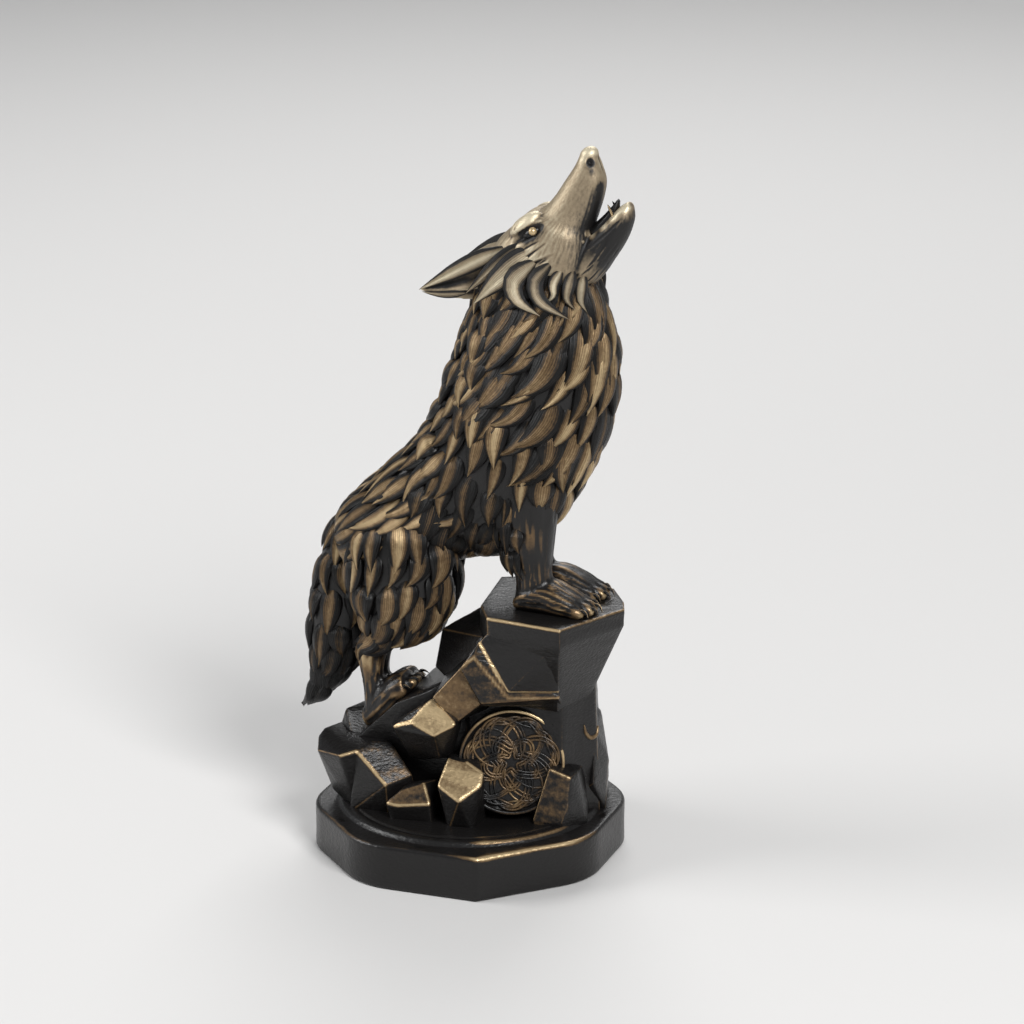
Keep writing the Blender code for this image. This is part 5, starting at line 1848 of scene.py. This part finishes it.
@dataclass
class RockPile:
    """The pile of split rock, every stone chiselled and worn along its edges."""

    edge: float = 1.7
    fine_edge: float = 0.75
    foot: float = 2.0
    chisel_depth: float = 0.3
    edge_width: float = 0.5
    faint: tuple = (0.3, 0.66)
    flat_angle: float = 5.0
    sharp_angle: float = 20.0
    # facets with brushed bronze and a painted highlight where they face the light
    brushed_and_lit: tuple = (
        BrushedAndLitFacet((-2.9, -21.2, 29.2), 0.92),
        BrushedAndLitFacet((6.3, -22.9, 14.0), 0.88),
        BrushedAndLitFacet((2.9, -17.9, 35.0), 0.64),
        BrushedAndLitFacet((10.0, -19.1, 41.5), 0.44),
        BrushedAndLitFacet((-9.5, -24.0, 6.6), 0.6),
        BrushedAndLitFacet((29.6, -13.7, 6.8), 0.5, 8.0),
        BrushedAndLitFacet((-20.4, -20.4, 15.0), 0.46, 7.0),
    )

    def stone(self, rock: Rock, seed: int) -> Shape:
        """One stone: the hull of its corners with worn edges and chiselled faces.

        Args:
            rock: The stone's corners.
            seed: Seed of its chisel marks.

        Returns:
            The closed shape, with its wear.
        """
        bm = bmesh.new()
        for x, y, z in rock.corners:
            bm.verts.new((x, y, PLINTH_TOP + z - (self.foot if z == 0 else 0.0)))
        hull = bmesh.ops.convex_hull(bm, input=bm.verts)
        spare = {e for e in hull["geom_interior"] + hull["geom_unused"] if isinstance(e, bmesh.types.BMVert)}
        bmesh.ops.delete(bm, geom=list(spare), context="VERTS")
        flat = math.radians(self.flat_angle)
        bmesh.ops.dissolve_limit(bm, angle_limit=flat, verts=bm.verts, edges=bm.edges)
        bmesh.ops.recalc_face_normals(bm, faces=bm.faces)
        planes = [(f.normal.copy(), f.calc_center_median().copy()) for f in bm.faces]
        least = math.radians(self.sharp_angle)
        sharp = [e for e in bm.edges if len(e.link_faces) == 2 and e.calc_face_angle() > least]
        lines = [(np.array(e.verts[0].co), np.array(e.verts[1].co)) for e in sharp]
        bmesh.ops.bevel(bm, geom=sharp, offset=rock.chamfer, segments=2, profile=0.6, affect="EDGES",
                        clamp_overlap=True)
        bmesh.ops.triangulate(bm, faces=bm.faces)
        for _ in range(12):
            ends = np.array([[v.co[:] for v in e.verts] for e in bm.edges])
            middles = ends.mean(axis=1)
            close = np.max([edge.on(middles) > 0.004 for edge in WORN_EDGES], axis=0)
            wanted = np.where(close, self.fine_edge, self.edge)
            too_long = np.linalg.norm(ends[:, 0] - ends[:, 1], axis=1) > wanted
            long = [e for e, split in zip(bm.edges, too_long) if split]
            if not long:
                break
            bmesh.ops.subdivide_edges(bm, edges=long, cuts=1)
            bmesh.ops.triangulate(bm, faces=[f for f in bm.faces if len(f.verts) > 3])
        bmesh.ops.recalc_face_normals(bm, faces=bm.faces)
        bm.normal_update()
        normals = np.array([v.normal[:] for v in bm.verts])
        shape = from_bmesh(bm)
        marks = chisel_marks(shape.points, seed)
        near_edge, shape.worn = self._wear_and_light(shape.points, normals, planes, lines, marks, seed)
        shape.points = shape.points + normals * ((marks - 0.2) * self.chisel_depth * (1 - near_edge))[:, None]
        return shape

    def _wear_and_light(self, points: np.ndarray, normals: np.ndarray, planes: list, lines: list, marks: np.ndarray,
              seed: int) -> tuple:
        """How near each point is to an edge, and its wear by its edge, its facet and its chisel marks, with a
        painted highlight on facets that face the light.

        Args:
            points: The stone's points.
            normals: Their normals.
            planes: Normal and middle of each flat face.
            lines: Both ends of each edge.
            marks: Chisel marks at the points.
            seed: Seed of the faint edges.

        Returns:
            Two arrays with one value for each point.
        """
        rng = np.random.default_rng(seed)
        near_edge = np.zeros(len(points))
        worn = 0.08 + 0.3 * marks * (0.6 + 0.4 * normals[:, 2].clip(0.0))
        for a, b in lines:
            near = nearness(points, a, b, self.edge_width)
            near_edge = np.maximum(near_edge, near)
            worn = np.maximum(worn, near * rng.uniform(*self.faint))
        for edge in WORN_EDGES:
            worn = np.maximum(worn, edge.on(points))
        # brushed bronze and a painted highlight on the facets that face the light
        for normal, middle in planes:
            n, m = np.array(normal), np.array(middle)
            on = (np.abs((points - m) @ n) < 0.4) & (normals @ n > 0.96)
            for spot in self.brushed_and_lit:
                near = np.array(spot.near) + (0.0, 0.0, PLINTH_TOP)
                if abs((near - m) @ n) < 0.7 and np.linalg.norm(near - m) < spot.radius:
                    worn[on] = np.maximum(worn[on], spot.strength + 0.36 * (marks[on] - 0.5))
        return near_edge, worn

    def build(self, material: bpy.types.Material) -> bpy.types.Object:
        """Build every stone and dress the pile.

        Args:
            material: The finish.

        Returns:
            The finished piece.
        """
        shapes = [self.stone(rock, k) for k, rock in enumerate((fore_ledge(), *ROCKS))]
        shapes.append(Hook().shape())
        return show(place("rock_pile", joined(shapes).mesh("rock_pile")), material)


def chisel_marks(points: np.ndarray, seed: int) -> np.ndarray:
    """Uneven, mostly level strokes over a stone, from 0 to 1.

    Args:
        points: The points.
        seed: Seed of the strokes.

    Returns:
        An array with one value for each point.
    """
    rng = np.random.default_rng(seed)
    total = np.zeros(len(points))
    for size, share in ((5.5, 0.5), (2.4, 0.3), (1.3, 0.2)):
        for _ in range(3):
            lean = rng.uniform(-0.35, 0.35, 2)
            run = points[:, 2] * (1.0 + lean[0]) + points[:, 0] * lean[1] + points[:, 1] * 0.2
            wander = np.sin(points[:, 0] / (size * 1.7) + rng.uniform(0, 6.3))
            wander = wander + np.cos(points[:, 1] / (size * 1.4) + rng.uniform(0, 6.3))
            wave = np.sin(2 * math.pi * run / size + 1.3 * wander + rng.uniform(0, 6.3))
            total += share / 3 * (0.5 + 0.5 * wave)
    return total


@dataclass
class Plinth:
    """The eight-sided plinth with rounded corners and a sharp one in front, under a round ground."""

    radius: float = 45.0
    height: float = 12.5
    corner_round: float = 20.0
    sharp_round: float = 1.0
    sides: int = 8
    ground_radius: float = 36.8
    points: int = 256
    # azimuths, in degrees, of the painted highlights on the front corner and on the left rim
    front_corner: float = -67.5
    left_rim: float = -125.0

    def outline(self) -> np.ndarray:
        """Distance of the plinth's edge from its middle, for each of its points.

        Returns:
            An array with one value for each point.
        """
        turn = 2 * math.pi / self.sides
        flat = self.radius * math.cos(turn / 2)
        corners = []
        for i in range(self.sides):
            angle = turn / 2 + i * turn
            rounding = self.sharp_round if i == self.sides - 2 else self.corner_round
            reach = (flat - rounding) / math.cos(turn / 2)
            for a in np.linspace(angle - turn / 2, angle + turn / 2, 24):
                corners.append((reach * math.cos(angle) + rounding * math.cos(a),
                                reach * math.sin(angle) + rounding * math.sin(a)))
        corners = np.array(corners)
        share = np.linspace(0.0, 1.0, 12, endpoint=False)[None, :, None]
        ring = (corners[:, None] * (1 - share) + np.roll(corners, -1, axis=0)[:, None] * share).reshape(-1, 2)
        angles = np.unwrap(np.arctan2(ring[:, 1], ring[:, 0]))
        wanted = np.linspace(0, 2 * math.pi, self.points, endpoint=False)
        closed_angles = np.concatenate([angles - 2 * math.pi, angles, angles + 2 * math.pi])
        reach = 1 / np.hypot(ring[:, 0], ring[:, 1])
        return 1 / np.interp(wanted, closed_angles, np.tile(reach, 3))

    def build(self, material: bpy.types.Material) -> bpy.types.Object:
        """Turn the plinth's section round its outline and dress it.

        Args:
            material: The finish.

        Returns:
            The finished piece.
        """
        edge = self.outline()
        angles = np.linspace(0, 2 * math.pi, self.points, endpoint=False)
        top, ground = self.height, PLINTH_TOP
        inner = self.ground_radius
        # share of the outline, then the distance inside it or the radius, height and wear
        levels = [
            (1, 2.5, 0.0, 0.0), (1, 0.5, 0.0, 0.1), (1, 0.12, 0.16, 0.2), (1, 0.0, 0.5, 0.12),
            (1, 0.0, 2.0, 0.06), (1, 0.05, 4.4, 0.0), (1, 0.05, 6.8, 0.02), (1, 0.0, 9.0, 0.06),
            (1, 0.0, top - 1.5, 0.14), (1, 0.0, top - 0.9, 0.4), (1, 0.16, top - 0.5, 0.75),
            (1, 0.5, top - 0.14, 0.95), (1, 0.95, top, 0.7), (1, 1.5, top, 0.36),
            (1, 2.6, top - 0.04, 0.24), (0, inner + 2.2, top - 0.05, 0.16),
            (0, inner + 1.0, top - 0.05, 0.1), (0, inner + 0.35, top - 0.05, 0.02),
            (0, inner, top + 0.1, 0.1), (0, inner - 0.45, ground - 0.42, 0.5),
            (0, inner - 0.8, ground - 0.12, 0.62), (0, inner - 1.25, ground, 0.4),
            (0, inner - 2.2, ground, 0.14), (0, inner - 3.1, ground, 0.3),
            (0, inner - 3.4, ground - 0.3, 0.0), (0, inner - 3.8, ground - 0.3, 0.0),
            (0, inner - 4.1, ground, 0.34), (0, inner - 5.0, ground, 0.12),
            (0, inner - 8.0, ground, 0.04), (0, inner - 14.0, ground, 0.0),
        ]
        rings, worn = [], []
        for on_edge, inset, z, wear in levels:
            reach = np.maximum(edge - inset, inner + 2.2) if on_edge else np.full(self.points, inset)
            level = np.full(self.points, z)
            rings.append(np.stack([reach * np.cos(angles), reach * np.sin(angles), level], axis=1))
            worn.append(np.full(self.points, wear))
        shape = lathe(rings)
        shape.worn = np.concatenate([*worn, np.zeros(2)])
        uneven = chisel_marks(shape.points * (1.0, 1.0, 3.0), 77) - 0.5
        # painted highlights: the wear is raised on the front corner, the edge on its right and the rim on the
        # left
        turn = np.degrees(np.arctan2(shape.points[:, 1], shape.points[:, 0]))
        corner = np.exp(-(((turn - self.front_corner) / 8.0) ** 2))
        right = np.clip((turn + 70.0) / 6.0, 0.0, 1.0) * np.clip((-12.0 - turn) / 16.0, 0.0, 1.0)
        left = np.exp(-(((turn - self.left_rim) / 26.0) ** 2))
        right_edge_highlight = 0.3 * right * (shape.worn > 0.1)
        shape.worn = shape.worn * (0.55 + 0.6 * corner + 0.5 * right + 0.3 * left) + right_edge_highlight
        shape.worn = shape.worn + 0.35 * uneven * (shape.worn > 0.05)
        shape.points[:, 2] += np.where(shape.points[:, 2] > self.height - 0.2, 0.05 * uneven, 0.0)
        shape.points[:, 2] = shape.points[:, 2].clip(0.0)
        return show(place("plinth", shape.mesh("plinth")), material)


@dataclass
class Medallion:
    """The round boss on the rock, with interlaced strands raised on its sunk field."""

    radius: float = 14.7
    centre: tuple = (17.2, -13.3, 16.4)
    azimuth: float = -70.0
    lean: float = 12.0
    rim: float = 1.0
    recess: float = 0.8
    thickness: float = 4.0
    strand: float = 0.32
    sides: int = 160

    def frame(self) -> np.ndarray:
        """Matrix that puts a flat disc, facing +Z, on the front of the rock.

        Returns:
            The matrix, 4 by 4.
        """
        x, y, z = self.centre
        turn = Matrix.Rotation(math.radians(self.azimuth), 4, "Z")
        lean = Matrix.Rotation(math.radians(90.0 - self.lean), 4, "Y")
        return np.array(Matrix.Translation((x, y, PLINTH_TOP + z)) @ turn @ lean)

    def placed(self, points: np.ndarray) -> np.ndarray:
        """Points of the flat disc put in their place."""
        matrix = self.frame()
        return points @ matrix[:3, :3].T + matrix[:3, 3]

    def disc(self) -> Shape:
        """The boss with its rounded rim.

        Returns:
            The closed shape, with its wear and a painted highlight towards its top left.
        """
        field_radius = self.radius - self.rim
        levels = (
            (self.radius - 0.5, -self.thickness, 0.0), (self.radius, -self.thickness + 0.5, 0.0),
            (self.radius, -0.35, 0.2), (self.radius - 0.14, -0.1, 0.6), (self.radius - 0.4, 0.0, 0.72),
            (field_radius + 0.3, 0.0, 0.62), (field_radius + 0.1, -0.12, 0.4), (field_radius, -0.4, 0.1),
            (field_radius - 0.1, -self.recess, 0.0), (field_radius * 0.8, -self.recess, 0.04),
            (field_radius * 0.6, -self.recess, 0.06), (field_radius * 0.4, -self.recess, 0.06),
            (field_radius * 0.2, -self.recess, 0.06), (0.4, -self.recess, 0.06),
        )
        angles = np.linspace(0, 2 * math.pi, self.sides, endpoint=False)
        turned = np.stack([np.cos(angles), np.sin(angles), np.zeros(self.sides)], 1)
        shape = lathe([turned * r + (0.0, 0.0, z) for r, z, _ in levels])
        shape.worn = np.concatenate([*(np.full(self.sides, w) for *_, w in levels), np.zeros(2)])
        uneven = chisel_marks(shape.points * 0.6, 12) - 0.5
        from_middle = np.hypot(shape.points[:, 0], shape.points[:, 1])
        shape.points[:, 2] += 0.14 * uneven * (from_middle < field_radius - 0.2)
        # the wear is raised towards the top left as a painted highlight
        top_left_highlight = (0.7 * shape.points[:, 1] - 0.7 * shape.points[:, 0]) / self.radius
        shape.worn = shape.worn * (1 + 0.6 * uneven + 0.5 * top_left_highlight)
        shape.points = self.placed(shape.points)
        return shape

    def interlace(self) -> list:
        """The strands: endless bands that cross over and under each other.

        Returns:
            The middle line of each strand, on the flat disc.
        """
        reach = self.radius - self.rim
        strands = []
        for middle, swing, lobes, turns, phase, gap in (
            (0.62, 0.31, 7, 3, 0.0, 0.5), (0.55, 0.36, 9, 4, 0.35, 0.0), (0.34, 0.2, 5, 2, 0.2, 0.4),
            (0.86, 0.07, 14, 3, 0.5, 0.0),
        ):
            for offset in ((-gap, gap) if gap else (0.0,)):
                t = np.linspace(0, 2 * math.pi * turns, 220 * turns // 2, endpoint=False)
                r = reach * (middle + swing * np.cos(t * lobes / turns + phase))
                line = np.stack([r * np.cos(t), r * np.sin(t)], 1)
                run = np.roll(line, -1, 0) - np.roll(line, 1, 0)
                run /= np.linalg.norm(run, axis=1)[:, None]
                line += np.stack([-run[:, 1], run[:, 0]], 1) * offset
                over = 0.28 * np.sin(t * lobes / turns * 2 + phase + 0.6)
                strands.append(np.concatenate([line, (-self.recess + 0.44 + over)[:, None]], 1))
        return strands

    def build(self, tree: "StrandTree", material: bpy.types.Material) -> list:
        """Build the boss and its strands, and dress them.

        Args:
            tree: The tree for the strands.
            material: The finish.

        Returns:
            The finished pieces.
        """
        disc = show(place("boss", self.disc().mesh("boss")), material)
        guides = Guides()
        outward = self.frame()[:3, 2]
        for line in self.interlace():
            closed = np.concatenate([line, line[:1]])
            guides.add(self.placed(closed), np.repeat(outward[None], len(closed), 0), self.strand)
        return [disc, tree.grow("boss_knotwork", guides, {"Sides": 8}, material)]


class StrandTree:
    """Geometry nodes that run a round raised strand along each guide line."""

    def __init__(self) -> None:
        """Build the tree."""
        inputs = {
            "Geometry": ("NodeSocketGeometry", None), "Sides": ("NodeSocketInt", 8), "Wear": (FLOAT, 0.54),
            "Seed": ("NodeSocketInt", 3), "Material": ("NodeSocketMaterial", None),
        }
        nodes, given, out = new_group("knot_strands", "GeometryNodeTree", inputs,
                                      {"Geometry": "NodeSocketGeometry"})
        curves = nodes.add("GeometryNodeMeshToCurve", {"Mesh": given.outputs["Geometry"]})
        swept = nodes.add("GeometryNodeCurveToMesh", {
            "Curve": curves.outputs[0], "Profile Curve": nodes.circle(given.outputs["Sides"]),
            "Scale": nodes.named("breadth"), "Fill Caps": True,
        })
        spot = nodes.add("GeometryNodeInputPosition").outputs[0]
        cloud = nodes.add("ShaderNodeTexNoise", {
            "Vector": spot, "W": given.outputs["Seed"], "Scale": 190.0, "Detail": 2.0,
        }, noise_dimensions="4D")
        patchy = nodes.math("MULTIPLY_ADD", nodes.math("SUBTRACT", cloud.outputs["Fac"], 0.5), 1.0,
                            given.outputs["Wear"])
        nodes.hand_out(nodes.store(swept.outputs[0], "worn", patchy), given, out)
        self.tree = nodes.tree

    grow = FurTree.grow


@dataclass
class Studio:
    """A pale floor, soft lamps and the camera."""

    azimuth: float = 20.0
    elevation: float = 18.0
    distance: float = 1.2
    target: tuple = (0.01098, 0.0040, 0.09681)
    lens: float = 153.56
    floor_colour: tuple = (0.62, 0.61, 0.60, 1.0)
    air_colour: tuple = (0.9, 0.95, 1.0, 1.0)
    air_strength: float = 0.24
    lamps: tuple = (
        ("key", (0.8, -0.7, 0.95), 0.5, 17.0),
        ("side", (-0.95, -0.35, 0.6), 0.6, 8.0),
        ("back", (-0.2, 0.9, 0.95), 0.7, 8.0),
    )

    def floor(self) -> bpy.types.Object:
        """A wide floor that rises softly into a backdrop.

        Returns:
            The floor.
        """
        bm = bmesh.new()
        section = [(-2.0, 0.0)] + [
            (1.2 + 0.6 * math.sin(a), 0.6 - 0.6 * math.cos(a)) for a in np.linspace(0, math.pi / 2, 16)
        ] + [(1.8, 2.4)]
        rows = [[bm.verts.new((x, y, z)) for y, z in section] for x in (-3.0, 3.0)]
        for j in range(len(section) - 1):
            bm.faces.new((rows[0][j], rows[1][j], rows[1][j + 1], rows[0][j + 1]))
        mesh = bpy.data.meshes.new("floor")
        bm.to_mesh(mesh)
        bm.free()
        obj = place("floor", mesh)
        paper = bpy.data.materials.new("paper")
        paper.use_nodes = True
        shader = paper.node_tree.nodes["Principled BSDF"]
        shader.inputs["Base Color"].default_value = self.floor_colour
        shader.inputs["Roughness"].default_value = 0.9
        mesh.materials.append(paper)
        obj.location.z = -0.0003
        return obj

    def lamp(self, name: str, place_at: tuple, size: float, power: float) -> None:
        """A square soft lamp aimed at the figure.

        Args:
            name: Name of the lamp.
            place_at: Where it hangs.
            size: Length of its sides.
            power: Its power, in watts.
        """
        data = bpy.data.lights.new(name, "AREA")
        data.size = size
        data.energy = power
        obj = bpy.data.objects.new(name, data)
        obj.location = place_at
        obj.rotation_euler = (Vector((0, 0, 0.1)) - Vector(place_at)).to_track_quat("-Z", "Y").to_euler()
        bpy.context.scene.collection.objects.link(obj)

    def build(self) -> None:
        """Set up the floor, the lamps, the world and the camera."""
        self.floor()
        for lamp in self.lamps:
            self.lamp(*lamp)
        world = bpy.data.worlds.new("studio")
        world.use_nodes = True
        air = world.node_tree.nodes["Background"]
        air.inputs["Color"].default_value = self.air_colour
        air.inputs["Strength"].default_value = self.air_strength
        scene = bpy.context.scene
        scene.world = world
        scene.view_settings.view_transform = "Standard"
        a, e = math.radians(self.azimuth), math.radians(self.elevation)
        back = Vector((math.sin(a) * math.cos(e), -math.cos(a) * math.cos(e), math.sin(e)))
        data = bpy.data.cameras.new("camera")
        data.lens = self.lens
        data.sensor_width = 36.0
        data.clip_start = 0.05
        camera = bpy.data.objects.new("camera", data)
        camera.location = Vector(self.target) + back * self.distance
        camera.rotation_euler = (-back).to_track_quat("-Z", "Y").to_euler()
        scene.collection.objects.link(camera)
        scene.camera = camera


def main() -> None:
    """Build every piece in order."""
    logging.basicConfig(level=logging.INFO, format="%(name)s %(message)s")
    groups = {"dry_brush": dry_brush_group(), "casting_grain": casting_grain_group(),
              "hair_streaks": hair_streaks_group()}
    finishes = (
        Finish("fur", Wear.EVEN, softness=0.36, dark=(0.0045, 0.0042, 0.0041, 1.0), mottle=0.36, shine=0.3,
               grain_scale=2600.0, grain_depth=0.07),
        Finish("face", Wear.FULL, softness=0.4, bronze=(0.3, 0.235, 0.155, 1.0), gold=(0.66, 0.58, 0.42, 1.0),
               sheen=0.42, grain_scale=2600.0, grain_depth=0.06),
        Finish("hide", Wear.EVEN, softness=0.36, grain_scale=2600.0, grain_depth=0.07),
        Finish("horn", Wear.EVEN, softness=0.3, grain_depth=0.03),
        Finish("rock", Wear.EVEN, softness=0.3, mottle=0.42, grain_scale=900.0,
               grain_stretch=(1.0, 1.0, 2.6), grain_depth=0.16),
        Finish("boss", Wear.EVEN, softness=0.26, grain_scale=1200.0, grain_depth=0.1),
        Finish("plinth", Wear.SPARSE, softness=0.34, grain_scale=800.0, grain_stretch=(1.0, 1.0, 2.0),
               grain_depth=0.12),
    )
    materials = {finish.name: finish.material(groups) for finish in finishes}
    body = WolfBody()
    body.build(materials["hide"])
    head = WolfHead()
    head.build(materials["face"])
    head.eyes(materials["horn"])
    head.mouth(materials["horn"])
    locks, claws = FurTree("fur_locks", FurTree.LEAF), FurTree("claw_horns", FurTree.CLAW)
    Coats(body).build(locks, claws, materials)
    RockPile().build(materials["rock"])
    Medallion().build(StrandTree(), materials["boss"])
    Plinth().build(materials["plinth"])
    Studio().build()


if __name__ == "__main__":
    main()
